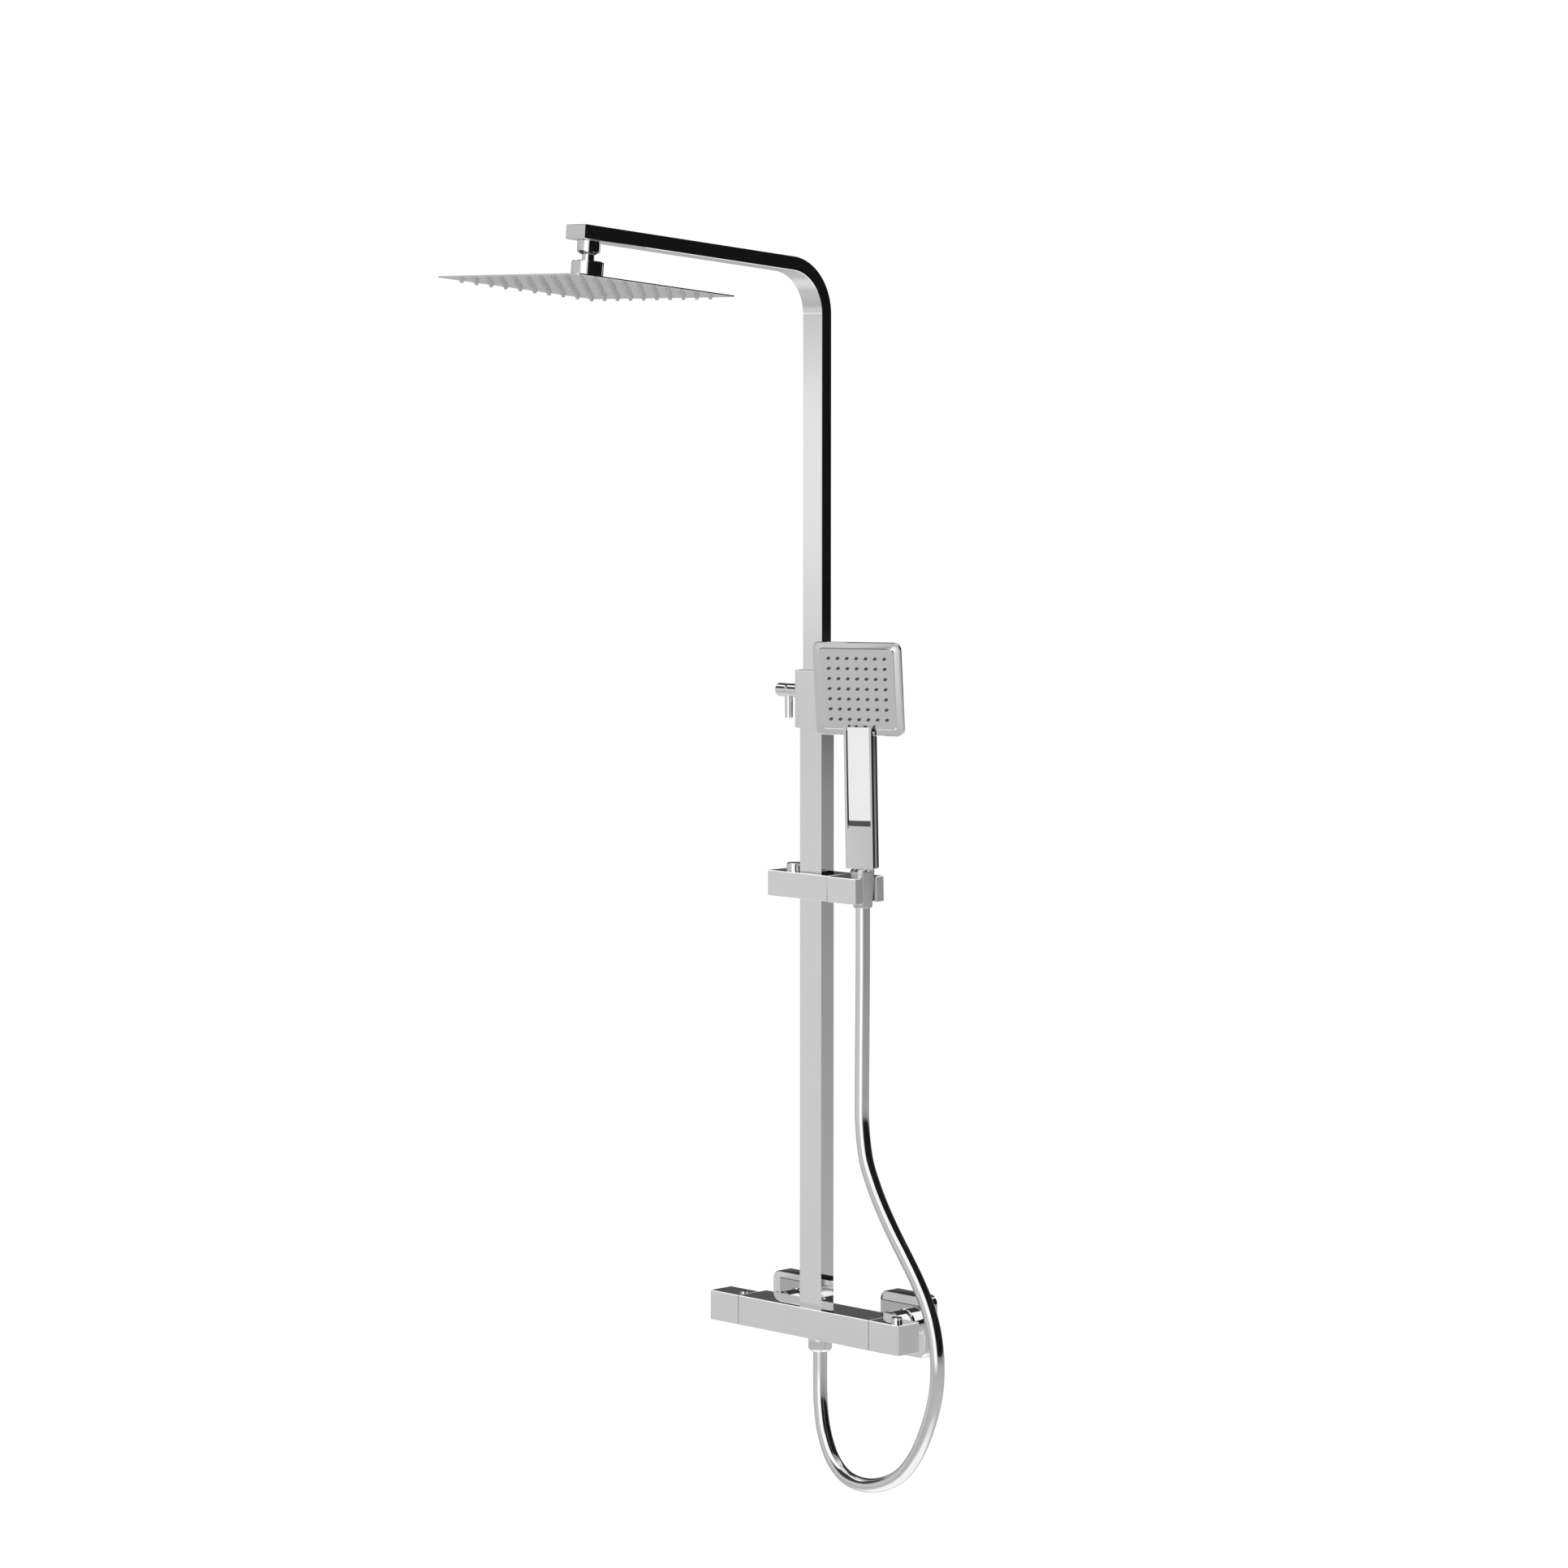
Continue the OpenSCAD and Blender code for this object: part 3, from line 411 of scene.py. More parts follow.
def knob(name, sign, node, body, button_x, button_r):
    at_knob = move(0, KNOB_Y, 0)
    bm = bmesh.new()
    add(bm, across([(sign * 90.55, 28.7, 29.2), (sign * 90.7, 29, 29.5), (sign * 129.95, 29, 29.5),
                    (sign * 130.5, 27.9, 28.4)]), at_knob)
    # thin raised ring round the button
    add(bm, lathe([(button_r + 0.15, 14.4), (button_r + 0.9, 14.4), (button_r + 0.8, 14.85),
                   (button_r + 0.25, 14.85)], 48), move(button_x, KNOB_Y, 0), closed=True)
    piece(name, bm, body, CHROME_PLASTIC, [node])
    # dark ring of painted shade that shows as the seam between the knob and the bar
    skin(name + "_seam", across([(sign * 90.05, 28.2, 28.7), (sign * 90.6, 28.2, 28.7)]), at_knob,
         body, RUBBER)


knob("temperature_knob_shell", -1, "temperature_knob", "temperature_control", TEMPERATURE_BUTTON_X, 3.4)
knob("flow_knob_shell", 1, "flow_knob", "flow_control", FLOW_BUTTON_X, 5.2)


def button(name, node, body, x, r, top):
    profile = [(r, 10.4), (r, top - 0.9), (r - 0.25, top - 0.35), (r - 0.8, top - 0.08), (r * 0.45, top)]
    skin(name, lathe(profile, 48), move(x, KNOB_Y, 0), body, CHROME_PLASTIC, [node])


button("temperature_stop_cap", "temperature_stop_button", "temperature_stop", TEMPERATURE_BUTTON_X, 3.4,
       16.65)
button("flow_stop_cap", "flow_button", "flow_stop", FLOW_BUTTON_X, 5.2, 19.65)

# wall union: back end and collar, then eight thread rings with a 1.8 mm pitch, then the tip
UNION = [(7.0, -26), (12.4, -26), (12.4, -8.0), (9.6, -7.9), (9.6, 0.2)]
for i in range(8):
    y = 0.8 + 1.8 * i
    UNION += [(9.45, y), (10.45, y + 0.55), (10.45, y + 0.7), (9.45, y + 1.25)]
UNION += [(9.45, 15.2), (8.9, 16.0), (7.0, 16.0)]

UNION_NUT = [(9.52, -37.6), (9.9, -38.0), (14.2, -38.0), (15.0, -37.3), (15.0, -35.2), (14.6, -35.0),
             (14.6, -34.4), (15.0, -34.2), (15.0, -20.6), (14.3, -19.6), (14.0, -18.2), (12.42, -18.2),
             (12.42, -31.1), (9.52, -31.2)]

# hollow cover, open towards the wall: depth, size and corner radius
COVER = [(-15.5, 58, 7.5), (-0.05, 58, 7.5), (-0.05, 61, 9), (-16.2, 61, 9), (-17.1, 60.5, 8.8),
         (-17.5, 59.4, 8.2)]

for side, x in (("hot", -INLET_X), ("cold", INLET_X)):
    skin(side + "_escutcheon_cover", [upright(w, w, r, y, 10) for y, w, r in COVER], move(x, 0, 0),
         "fixed_column", CHROME_STEEL, [side + "_escutcheon"], bevel=0.25)
    bm = bmesh.new()
    add(bm, lathe(UNION, 48), along_y(x), closed=True)
    # hexagon behind the cover
    add(bm, lathe([(14.0, -8.0), (14.0, -0.05)], 6), along_y(x))
    piece(side + "_union_body", bm, "fixed_column", CHROME, [side + "_wall_union"],
          bevel=0.12)
    skin(side + "_union_nut_ring", lathe(UNION_NUT, 72), along_y(x), "fixed_column", CHROME,
         [side + "_union_nut"], closed=True, bevel=0.12)

OUTLET_NUT = [(7.2, -31.0), (9.3, -31.0), (10.4, -30.0), (11.4, -28.6), (11.7, -27.4), (11.7, -18.4),
              (11.4, -18.2), (11.4, -17.7), (11.7, -17.5), (11.7, -15.3), (11.4, -14.95), (7.2, -14.95)]
outlet_nut = skin("outlet_nut_ring", lathe(OUTLET_NUT, 72), move(0, OUTLET_Y, 0), "fixed_column", CHROME,
                  ["outlet_hose_nut"], closed=True, bevel=0.12)


# ---------- riser, collar, lever and bracket ----------

skin("lower_riser_profile",
     [level(29.6, 18.0, 0.5, 14.78, 1), level(29.6, 18.0, 0.5, 605, 1), level(26.8, 15.2, 0.3, 605, 1),
      level(26.8, 15.2, 0.3, 14.78, 1)],
     ON_AXIS, "fixed_column", CHROME, ["lower_riser_tube"], closed=True)

# the collar's bore is wide over the lower riser and narrow over the upper one
bm = bmesh.new()
add(bm, [level(34.2, 27.2, 2.1, 582), level(35, 28, 2.5, 582.4), level(35, 28, 2.5, 637.5),
         level(34.2, 27.2, 2.1, 638), level(28.2, 15.6, 0.4, 638), level(28.2, 15.6, 0.4, 605.2),
         level(29.7, 18.1, 0.9, 605.1), level(29.7, 18.1, 0.9, 582)], ON_AXIS, closed=True)
add(bm, lathe([(6.4, -19.75), (6.4, -16.5)], 48), along_x(0, AXIS_Y, LEVER_Z))
piece("collar_shell", bm, "fixed_column", CHROME, ["telescopic_collar"], bevel=0.2)

skin("lever_head",
     lathe([(5.4, -52.0), (6.1, -51.75), (6.4, -51.1), (6.4, -39.5), (6.1, -39.2), (5.0, -39.1),
            (5.0, -36.7), (6.1, -36.6), (6.4, -36.3), (6.4, -20.4), (6.1, -20.1), (2.95, -20.05),
            (2.95, -14.4)], 64),
     along_x(0, AXIS_Y, LEVER_Z), "lock_lever", CHROME, ["lock_lever_drum"])
skin("lever_handle", lathe([(3.3, 589.7), (3.75, 589.85), (4.0, 590.3), (4.0, 615.8)], 48),
     move(-38.6, AXIS_Y, 0), "lock_lever", CHROME, ["lock_lever_rod"])

skin("bracket_post", lathe([(9.0, -47), (9.0, -6.6), (8.6, -6.0), (4.9, -5.9), (4.9, -3.1)], 64),
     along_y(0, 0, BRACKET_Z), "fixed_column", CHROME, ["wall_bracket_post"])
skin("bracket_plate",
     [upright(36 - 2 * c, 54 - 2 * c, 4 - c, y)
      for y, c in ((-0.05, 0), (-5.2, 0), (-5.75, 0.3), (-5.98, 0.9))],
     move(0, 0, BRACKET_Z), "fixed_column", CHROME, ["wall_bracket_plate"], bevel=0.1)

# upper tube, bend and arm in one sweep
stops = [move(0, AXIS_Y, 450), move(0, AXIS_Y, 700)]
stops += [ARM_START @ turn(ARM_ANGLE * i / 40, "X") @ move(0, BEND_RADIUS, 0) for i in range(41)]
stops += [AT_ARM @ move(0, 0, 130), AT_ARM @ move(0, 0, ARM_LENGTH)]
skin("riser_and_arm", [[tuple(stop @ Vector(p)) for p in level(*TUBE, 0, 1)] for stop in stops], IDENTITY,
     "upper_riser", CHROME, ["upper_riser_arm"])
skin("arm_cap",
     [level(*CAP_TUBE, 0.4, -4.0, 1), level(*CAP_TUBE, 0.4, 0.06, 1), level(*TUBE, 0.12, 1),
      level(*TUBE, 0.9, 1), level(*CAP_TUBE, 0.35, 1.2, 1)],
     AT_ARM @ move(0, 0, ARM_LENGTH), "upper_riser", CHROME, ["arm_end_cap"])


# ---------- rain head ----------

BALL_Z, BALL_RADIUS, NECK_RADIUS, SOCKET_RADIUS = -24.5, 8.5, 6.3, 9.2

skin("ball_nut_ring",
     lathe([(7.93, -8.5), (7.93, -0.05), (10.4, -0.05), (10.75, -0.5), (10.75, -9.7), (10.5, -10.3),
            (6.7, -12.55), (6.3, -12.7), (5.8, -12.7), (5.8, -8.5)], 72),
     AT_HEAD, "upper_riser", CHROME, ["ball_nut"], closed=True, bevel=0.1)

BORE_RADIUS = 3.2
ball = arc(BALL_RADIUS, BALL_Z, math.degrees(math.asin(NECK_RADIUS / BALL_RADIUS)), -64, 24)
skin("ball_and_neck",
     lathe([(BORE_RADIUS, -9.4), (5.75, -9.4), (5.75, -17.4)] + ball + [(BORE_RADIUS, ball[-1][1])], 72),
     AT_HEAD, "upper_riser", CHROME, ["ball_stem"], closed=True)

skin("socket_nut_ring",
     lathe([(5.0, -37.6), (14.6, -37.6), (15.0, -37.2), (15.0, -19.6), (14.7, -19.05), (14.0, -18.95),
            (9.4, -18.8), (8.4, -18.95), (8.05, -19.6), (8.05, -20.28)]
           + arc(SOCKET_RADIUS, BALL_Z, 27.2, -56.5, 16)
           + [(5.0, -32.2), (5.0, -33.2), (9.0, -33.2), (9.0, -35.4), (5.0, -35.4)], 72),
     AT_HEAD, "rain_head", CHROME, ["socket_nut"], closed=True)


def squared(half, z, share, n=96):
    """Outline between a square with cut corners and a circle, with its points at even angles."""
    ring = []
    for i in range(n):
        a = 2 * math.pi * (i + 0.5) / n
        c, s = math.cos(a), math.sin(a)
        square = min(half / max(abs(c), abs(s)), half * 1.39)
        reach = square * share + half * (1 - share)
        ring.append((reach * c, reach * s, z))
    return ring


# shallow cover that rises from a square edge to the round neck
EDGE_HALF, NECK_HALF = 87.5, 22
EDGE_Z, NECK_Z = -40.75, -37.62
rings = [squared(88, -41.38, 1.0), squared(88, -40.95, 1.0), squared(EDGE_HALF, EDGE_Z, 1.0)]
for i in range(1, 13):
    t = i / 12
    rings.append(squared(EDGE_HALF + (NECK_HALF - EDGE_HALF) * t,
                         EDGE_Z + (NECK_Z - EDGE_Z) * (t * t * (1.6 - 0.6 * t)), 1 - t ** 1.5))
skin("head_cover_shell", rings, AT_HEAD, "rain_head", CHROME_STEEL, ["head_cover"],
     bevel=0.1)

# face plate with a shallow groove near its edge: inset, corner radius and height
PLATE = [(0.1, 4.9, -41.4), (0, 5, -41.5), (0, 5, -42.5), (0.1, 4.9, -42.6), (5.6, 3.4, -42.6),
         (5.8, 3.3, -42.35), (6.4, 3.1, -42.35), (6.6, 3.0, -42.6)]
skin("head_plate_sheet",
     [level(HEAD_SIZE - 2 * inset, HEAD_SIZE - 2 * inset, r, z) for inset, r, z in PLATE], AT_HEAD,
     "rain_head", CHROME_STEEL, ["head_plate"])


def nozzle_grid(name, count, pitch, profile, matrix, body, nodes, material):
    """Soft nozzles with a chamfered foot and a bore at the tip."""
    bm = bmesh.new()
    start = -(count - 1) / 2 * pitch
    for i in range(count):
        for j in range(count):
            add(bm, lathe(profile, 20), matrix @ move(start + i * pitch, start + j * pitch, 0))
    piece(name, bm, body, material, nodes)


nozzle_grid("head_nozzles", 10, 18,
            [(2.75, -42.45), (2.75, -43.0), (2.3, -43.25), (2.15, -44.0), (1.55, -46.2), (1.3, -46.4),
             (0.7, -46.42), (0.6, -44.8)], AT_HEAD, "rain_head", ["head_nozzle_mat"], SILICONE)


# ---------- slider and holder ----------

SLIDER_LEFT, SLIDER_RIGHT = -48.9, 32.8


def slider_ring(inset, z):
    mid = (SLIDER_LEFT + SLIDER_RIGHT) / 2
    return [(x + mid, y + AXIS_Y, z) for x, y in round_rect(81.7 - 2 * inset, 39 - 2 * inset, 0.6, 1)]


def slider_bore(z):
    return [(x, y + AXIS_Y, z) for x, y in round_rect(31.68, 20.08, 0.5, 1)]


bm = bmesh.new()
add(bm, [slider_ring(0.6, 416.3), slider_ring(0, 416.9), slider_ring(0, 440.7), slider_ring(0.6, 441.3),
         slider_bore(441.3), slider_bore(416.3)], closed=True)
# ring round the release button
add(bm, lathe([(8.1, 441.0), (9.2, 441.0), (9.1, 441.3), (8.3, 441.3)], 64),
    move(RELEASE_X, RELEASE_Y, 0), closed=True)
piece("slider_block", bm, "slider", CHROME_PLASTIC, ["slider_body"])
# dark strip of painted shade that shows as the seam in the slider
skin("slider_seam", across([(32.7, 38.0, 24.0), (33.05, 38.0, 24.0)], 0.4), move(0, AXIS_Y, HOLDER_Z),
     "slider", RUBBER)
skin("release_cap",
     lathe([(8, 431.8), (8, 447.6), (7.8, 448.2), (7.3, 448.6), (6.6, 448.78), (3.5, 448.8)], 64),
     move(RELEASE_X, RELEASE_Y, 0), "slider_release", CHROME_PLASTIC, ["slider_button"])


def fork_ring(z, inset=0.0):
    """Outline of the fork at one height: a block with a tapered seat that opens to the right."""
    r = 9.15 + 2.5 * (z - SEAT_FOOT) / 33 + inset
    slot = 9.6 + inset
    left, right, side = 33.3 + 0.3 * inset, 72 - inset, 19.5 - inset
    reach = max(r, slot + 0.02)
    a = math.asin(slot / reach)
    points = [(left, -side), (right, -side), (right, -slot)]
    for i in range(37):
        t = -a - (2 * math.pi - 2 * a) * i / 36
        points.append((SEAT_X + reach * math.cos(t), reach * math.sin(t)))
    points += [(right, slot), (right, side), (left, side)]
    return flat(points, z)


skin("holder_seat", [fork_ring(-12.5, 0.6), fork_ring(-11.9), fork_ring(11.9), fork_ring(12.5, 0.6)],
     AT_HOLDER, "holder", CHROME_PLASTIC, ["holder_fork"], bevel=0.2, angle=60)


# ---------- hand shower ----------

cone = skin("cone_nut_shell",
            lathe([(7.3, 0.0), (8.7, 0.0), (9.1, 0.45), (11.6, 33.0), (11.6, 35.7), (11.2, 36.3),
                   (9.9, 37.8), (9.4, 38.0), (7.3, 38.0)], 72),
            AT_HANDSET, "handset", SATIN, ["cone_nut"], closed=True)


def top_end(y):
    """Height of the handle's top end, which slants up towards its front."""
    return TOP_FOOT + max(0.0, -y) * SLANT


def handle_outline(depth):
    """Flat bar with a bed of some depth in its front."""
    bed = depth - HANDLE_Y
    return [(14.5, 0.0), (14.5, -HANDLE_Y), (BED_RIGHT, -HANDLE_Y), (BED_RIGHT, bed), (BED_LEFT, bed),
            (BED_LEFT, -HANDLE_Y), (-14.5, -HANDLE_Y), (-14.5, 0.0), (-14.5, HANDLE_Y), (14.5, HANDLE_Y)]


bm = bmesh.new()
made = add(bm, [flat(handle_outline(0.02), 38.0), flat(handle_outline(0.02), 79.3),
                flat(handle_outline(2.0), 84.0), [(x, y, top_end(y)) for x, y in handle_outline(2.0)]],
           AT_HANDSET, caps=(True, False))
# the top end has a slanting and a level face
last = made[-1]
bm.faces.new(last[:8])
bm.faces.new([last[7], last[8], last[9], last[0]])
piece("handle_bar", bm, "handset", CHROME_PLASTIC, ["handset_handle"], bevel=0.35,
      angle=25)

# glossy dark bands let into both sides of the handle
for side, s in (("left", -1), ("right", 1)):
    for label, y0, y1 in (("front", -6.45, -1.6), ("back", 2.6, 6.5)):
        skin("handle_band_" + side + "_" + label,
             [[(s * x, y0, 39.0), (s * x, y1, 39.0), (s * x, y1, top_end(y1) - 0.9),
               (s * x, y0, top_end(y0) - 0.9)] for x in (14.2, 14.56)],
             AT_HANDSET, "handset", BLACK_GLOSS, bevel=0.05)

# painted shade: a dark step below the front panel, and a dark strip in the groove at its left
skin("handle_step_painted_shade",
     [[(x, y, z) for y, z in ((-6.86, 79.5), (-6.0, 84.1), (-5.0, 84.1), (-5.0, 79.5))]
      for x in (-11.5, 12.3)],
     AT_HANDSET, "handset", PAINTED_STEP_SHADE)
skin("handle_groove_painted_shade",
     [[(-11.85, -5.0, z), (-10.5, -5.0, z), (-10.5, front, z), (-11.85, front, z)]
      for z, front in ((77.5, -6.86), (84, -6.4), (120, -6.6), (171.5, -6.82))],
     AT_HANDSET, "handset", BLACK_GLOSS)

# front panel, canted slightly across its width
CANT = 0.42
PANEL_LEFT, PANEL_RIGHT, PANEL_BACK = -10.5, 12.5, -4.82


def panel_ring(front, front_z, back_z):
    return [(PANEL_LEFT, PANEL_BACK, back_z), (PANEL_RIGHT, PANEL_BACK, back_z),
            (PANEL_RIGHT, front + CANT, front_z), (PANEL_LEFT, front - CANT, front_z)]


skin("handle_panel",
     [panel_ring(-6.3, 84.25, 84.25), panel_ring(-6.6, 120, 120),
      panel_ring(-6.9, 175.2, 175.3 - 2.0 * SLANT)],
     AT_HANDSET, "handset", CHROME_PLASTIC, ["handset_panel"], bevel=0.4)

# spray head: shell with a low crowned back
rings = [upright(92.0, 89.6, 6.7, 1.22), upright(92.8, 90.4, 7, 1.5), upright(92.8, 90.4, 7, 3.0),
         upright(92.2, 89.8, 6.8, 3.45), upright(91.0, 88.6, 6.6, 3.7)]
for i in range(1, 9):
    t = i / 8
    w = 91.0 - 34 * t ** 1.15
    rings.append(upright(w, w - 2.4, 6.6, 3.7 + 5.7 * math.sin(t * math.pi / 2)))
skin("spray_shell", rings, AT_SPRAY, "handset", CHROME_PLASTIC, ["handset_head_shell"])
skin("spray_face",
     [upright(92.2, 89.8, 6.7, 1.12), upright(92.8, 90.4, 7, 0.9), upright(92.8, 90.4, 7, 0.35),
      upright(92.0, 89.6, 6.7, 0.0), upright(79.6, 79.2, 4.3, 0.0), upright(79.2, 78.8, 4.2, -0.05),
      upright(77.9, 77.5, 3.8, -0.7)],
     AT_SPRAY, "handset", CHROME_PLASTIC, ["handset_face_plate"])
# the spray nozzles are nearly black: painted shade for their bores and shaded sides
nozzle_grid("spray_nozzles", 7, 9.85,
            [(1.6, 0.6), (1.6, 0.8), (1.3, 0.95), (1.25, 2.2), (0.95, 3.45), (0.8, 3.58), (0.45, 3.6),
             (0.4, 2.6)], AT_SPRAY @ turn(90, "X"), "handset", ["handset_nozzle_mat"], SILICONE_PAINTED_SHADE)


# ---------- pieces that keep their CAD shape ----------

FINISH = {
    "inlet_filter_washers": STEEL, "check_valves": WHITE, "thermostatic_cartridge": BRASS,
    "diverter_cartridge": BRASS, "cartridge_retaining_nuts": BRASS, "temperature_spindle": BRASS,
    "flow_spindle": BRASS, "temperature_button_spring": STEEL, "flow_button_spring": STEEL,
    "hose_outlet_nipple": CHROME, "riser_foot_plug": DARK, "riser_o_rings": RUBBER, "collar_liner": DARK,
    "bracket_screws": STEEL, "riser_piston": DARK, "piston_seals": RUBBER, "head_nipple": BRASS,
    "upper_ball_seat": WHITE, "lower_ball_seat": WHITE, "head_strainer": DARK, "slider_liner": DARK,
    "slider_button_spring": STEEL, "holder_pivot_pin": BRASS, "hose_washer": RUBBER,
}
for name, material in FINISH.items():
    mesh = NODES[name].data
    mesh.materials.clear()
    mesh.materials.append(material)


def coil(name, node):
    """A copy of the CAD spring as a piece of its own, with its place baked in; the CAD spring is hidden."""
    source = NODES[node]
    mesh = source.data.copy()
    mesh.transform(source.matrix_world)
    obj = link(name, mesh)
    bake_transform(obj)
    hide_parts(node)


coil("temperature_coil", "temperature_button_spring")
coil("flow_coil", "flow_button_spring")
coil("slider_coil", "slider_button_spring")


# ---------- floor and lights ----------

floor_paint, nt, shader = base_material("floor_paint", (0.96, 0.96, 0.96), 0.0, 0.9)
shader.inputs["Specular IOR Level"].default_value = 0.0
nt.links.new(two_tone(nt, noise(nt, coordinates(nt), 2.0), (0.955, 0.955, 0.955), (0.97, 0.97, 0.97)),
             shader.inputs["Base Color"])
FLOOR_HALF = 30.0
mesh = bpy.data.meshes.new("floor")
mesh.from_pydata([(-FLOOR_HALF, -FLOOR_HALF, 0), (FLOOR_HALF, -FLOOR_HALF, 0), (FLOOR_HALF, FLOOR_HALF, 0),
                  (-FLOOR_HALF, FLOOR_HALF, 0)], [], [(0, 1, 2, 3)])
mesh.materials.append(floor_paint)
floor = link("floor", mesh)
floor.location = (0, 0, -1.05)
floor.visible_glossy = False


def area(name, place, target, size, power):
    """Square soft light that the plating doesn't mirror."""
    light = bpy.data.lights.new(name, "AREA")
    light.shape = "SQUARE"
    light.size = size
    light.energy = power
    obj = link(name, light)
    obj.location = place
    obj.rotation_euler = (Vector(target) - Vector(place)).to_track_quat("-Z", "Y").to_euler()
    obj.visible_glossy = False


area("light_front", (1.5, -3.5, 2.5), (0, 0, 0.4), 2.5, 60)
area("light_left", (-3.5, -2.0, 1.6), (0, 0, 0.4), 2.5, 35)


# ---------- studio surroundings that the plating mirrors ----------

world = bpy.data.worlds.new("studio")
bpy.context.scene.world = world
world.use_nodes = True
studio = world.node_tree
studio.nodes.clear()


def math_node(operation, a, b=None):
    node = studio.nodes.new("ShaderNodeMath")
    node.operation = operation
    for i, value in enumerate((a, b)):
        if value is None:
            continue
        if isinstance(value, (int, float)):
            node.inputs[i].default_value = value
        else:
            studio.links.new(value, node.inputs[i])
    return node.outputs[0]


def step_between(value, low, high):
    node = studio.nodes.new("ShaderNodeMapRange")
    node.interpolation_type = "SMOOTHSTEP"
    node.inputs["From Min"].default_value = low
    node.inputs["From Max"].default_value = high
    studio.links.new(value, node.inputs["Value"])
    return node.outputs["Result"]


def grey(brightness):
    return (brightness, brightness, brightness, 1)


def curve(value, stops):
    """Piecewise linear curve from (position 0..1, brightness) stops, as a colour ramp."""
    node = studio.nodes.new("ShaderNodeValToRGB")
    ramp = node.color_ramp
    while len(ramp.elements) > 1:
        ramp.elements.remove(ramp.elements[-1])
    ramp.elements[0].position = stops[0][0]
    ramp.elements[0].color = grey(stops[0][1])
    for position, brightness in stops[1:]:
        ramp.elements.new(position).color = grey(brightness)
    studio.links.new(value, node.inputs["Fac"])
    return node.outputs["Color"]


def mix(share, a, b):
    """Colour a with a share of b, which is a colour output or one brightness."""
    node = studio.nodes.new("ShaderNodeMix")
    node.data_type = "RGBA"
    studio.links.new(share, node.inputs[0])
    studio.links.new(a, node.inputs[6])
    if isinstance(b, float):
        node.inputs[7].default_value = grey(b)
    else:
        studio.links.new(b, node.inputs[7])
    return node.outputs[2]


def bright(level):
    """Display grey 0..255 as linear light, with the plating's own loss made up."""
    v = level / 255
    return (v / 12.92 if v <= 0.04045 else ((v + 0.055) / 1.055) ** 2.4) / 0.92


coords = studio.nodes.new("ShaderNodeTexCoord")
split = studio.nodes.new("ShaderNodeSeparateXYZ")
studio.links.new(coords.outputs["Generated"], split.inputs[0])
x, y, z = split.outputs
# azimuth from -Y towards +X as 0..1 over -180..180 degrees, and elevation in degrees
azimuth = math_node("ADD", math_node("DIVIDE", math_node("ARCTAN2", x, math_node("MULTIPLY", y, -1.0)),
                                     2 * math.pi), 0.5)
elevation = math_node("MULTIPLY", math_node("ARCSINE", z), 180 / math.pi)
drop = math_node("MULTIPLY", elevation, -1.0)


def at(degrees):
    return (degrees + 180) / 360


def around(*stops):
    """Brightness round the horizon from (degrees, brightness) stops."""
    return curve(azimuth, [(at(degrees), brightness) for degrees, brightness in stops])


FLAG = bright(20)
PANEL = 1.15
RAISED_PANEL = 1.1

# just above and just below the horizon: pale walls, the bright panel, the dark flag at the right
upper = around((-180, bright(70)), (-124, bright(85)), (-112, bright(170)), (-90, bright(176)),
               (-45, bright(190)), (-20, bright(186)), (-5, bright(196)), (-3.8, bright(120)),
               (-2.6, bright(236)), (8, PANEL), (39, PANEL), (41, bright(200)), (50, bright(196)),
               (51.5, FLAG), (175, bright(18)), (178, bright(140)))
lower = around((-180, bright(160)), (-134, bright(170)), (-90, bright(188)), (-45, bright(202)),
               (-20, bright(198)), (-5, bright(200)), (-3.8, bright(130)), (-2.6, bright(232)),
               (8, PANEL), (39, PANEL), (41, bright(200)), (51.5, bright(190)))
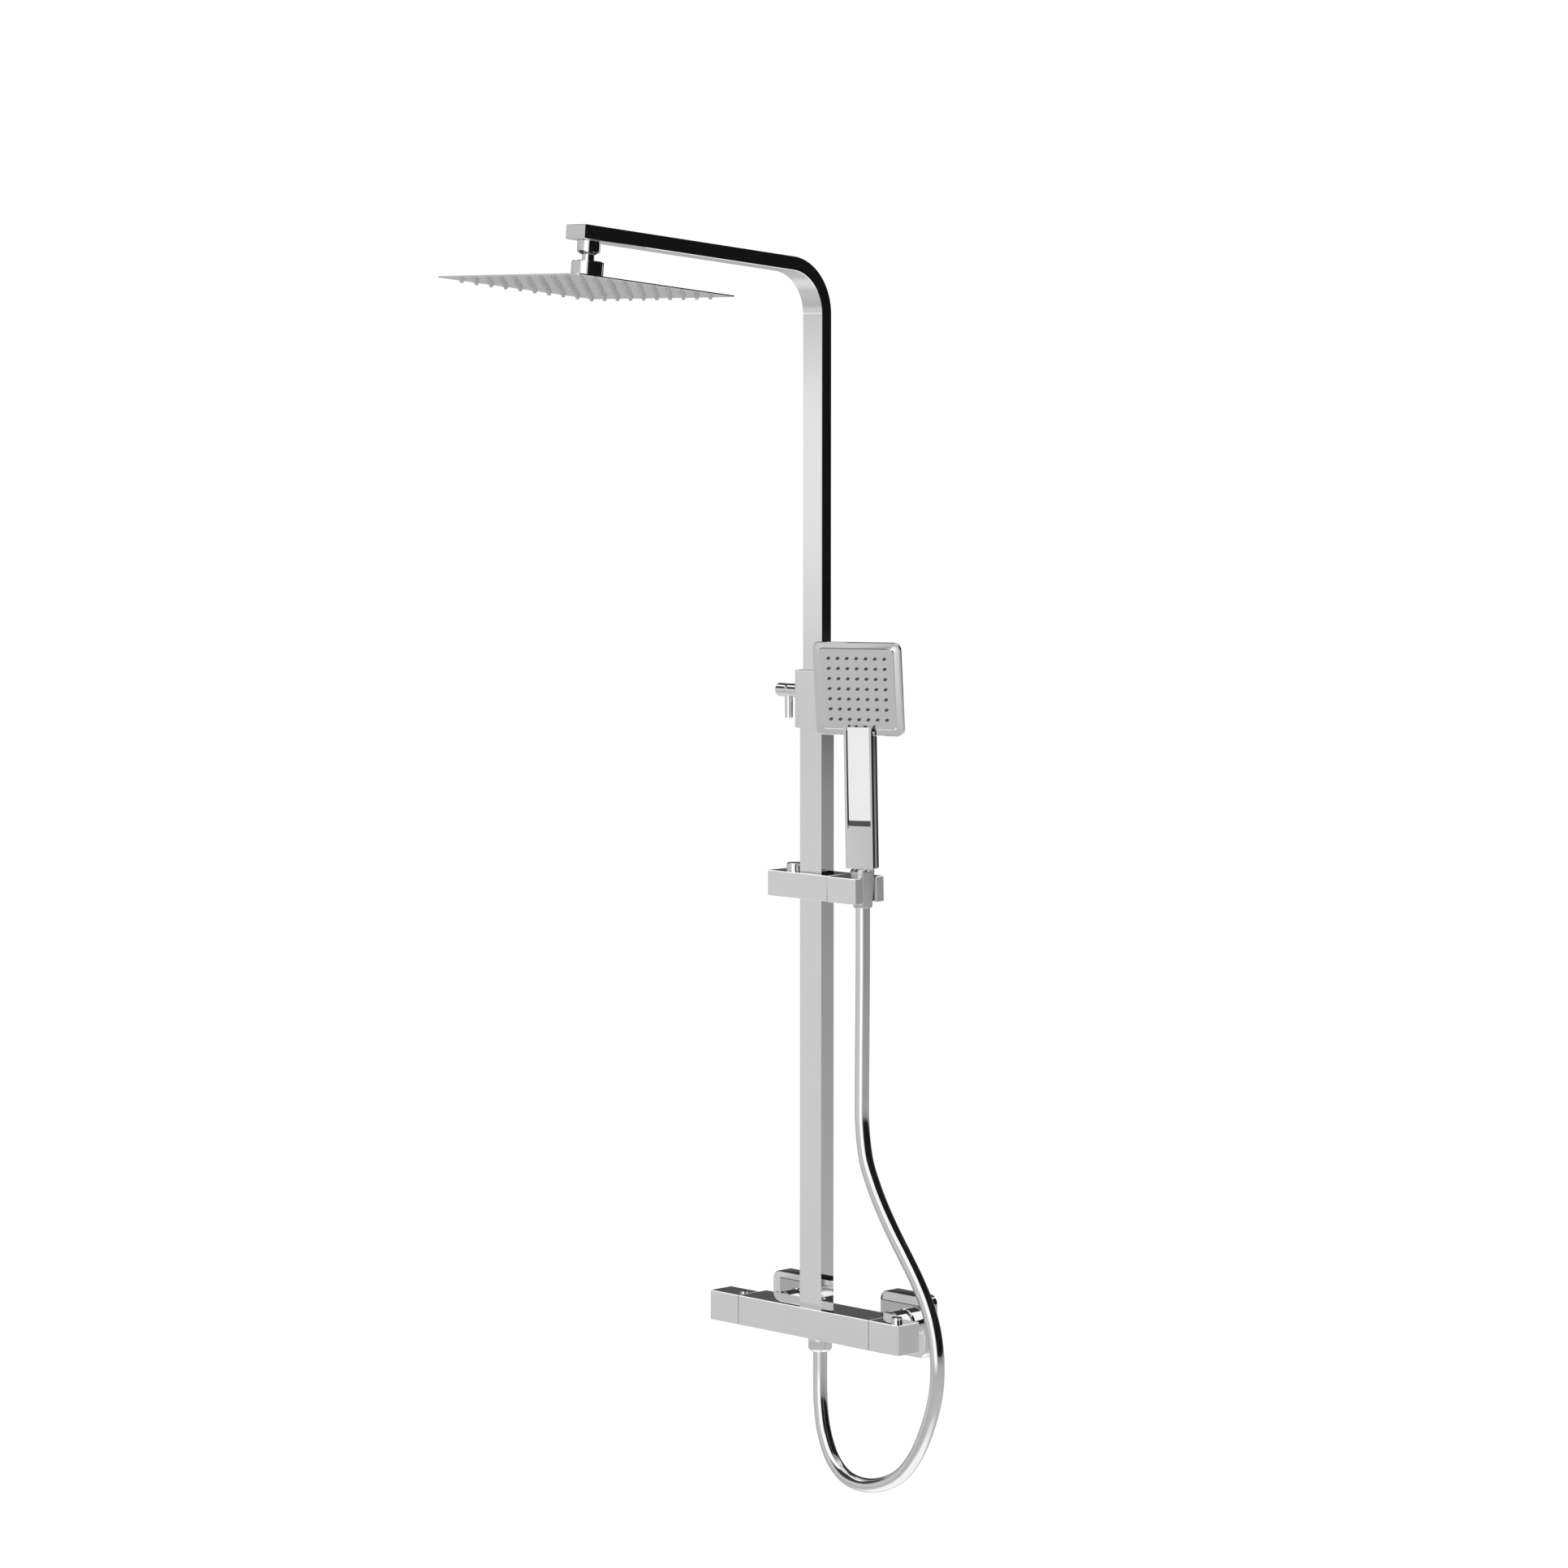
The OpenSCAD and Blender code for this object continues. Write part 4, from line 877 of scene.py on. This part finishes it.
# higher up the walls are dark, and from 34 degrees two narrow strips are lit
middle = around((-180, bright(50)), (-36, bright(60)), (-4, bright(50)), (-2, RAISED_PANEL),
                (50, RAISED_PANEL), (51.5, FLAG), (175, FLAG))
raised = around((-180, bright(50)), (-92, bright(60)), (-89, 1.2), (-68, 1.2), (-64, bright(60)),
                (-4, bright(50)), (-2, RAISED_PANEL), (50, RAISED_PANEL), (51.5, FLAG), (156, FLAG),
                (159, RAISED_PANEL), (171, RAISED_PANEL), (175, FLAG))
# the ground gets brighter from the horizon down: (degrees below it, brightness)
ground = curve(math_node("DIVIDE", drop, 90.0), [(below / 90, brightness) for below, brightness in (
    (0, bright(118)), (4.8, bright(133)), (8, bright(151)), (11, bright(170)), (16, bright(178)),
    (40, bright(190)), (52, 1.05), (90, 1.05))])
# pale patch at the left, just below the horizon
glow = math_node("MULTIPLY",
                 math_node("MULTIPLY", step_between(elevation, -4.6, -1.4),
                           math_node("SUBTRACT", 1.0, step_between(elevation, -1.1, 0.4))),
                 math_node("MULTIPLY", step_between(azimuth, at(-75), at(-60)),
                           math_node("SUBTRACT", 1.0, step_between(azimuth, at(-32), at(-20)))))
room = mix(step_between(azimuth, at(50.5), at(51.5)), lower, ground)
room = mix(step_between(elevation, -5.0, -3.0), room, upper)
room = mix(glow, room, bright(227))
room = mix(step_between(elevation, 14.0, 20.0), room, middle)
room = mix(step_between(elevation, 34.0, 40.0), room, raised)
room = mix(step_between(drop, 9.0, 17.0), room, ground)
room = mix(step_between(elevation, 62.0, 70.0), room, bright(222))

# the plating mirrors the room, and everything else sees plain white
mirror = studio.nodes.new("ShaderNodeBackground")
studio.links.new(room, mirror.inputs["Color"])
white = studio.nodes.new("ShaderNodeBackground")
white.inputs["Color"].default_value = (1, 1, 1, 1)
white.inputs["Strength"].default_value = 1.06
rays = studio.nodes.new("ShaderNodeLightPath")
choose = studio.nodes.new("ShaderNodeMixShader")
studio.links.new(rays.outputs["Is Glossy Ray"], choose.inputs["Fac"])
studio.links.new(white.outputs[0], choose.inputs[1])
studio.links.new(mirror.outputs[0], choose.inputs[2])
out = studio.nodes.new("ShaderNodeOutputWorld")
studio.links.new(choose.outputs[0], out.inputs["Surface"])
bpy.context.scene.view_settings.view_transform = "Standard"
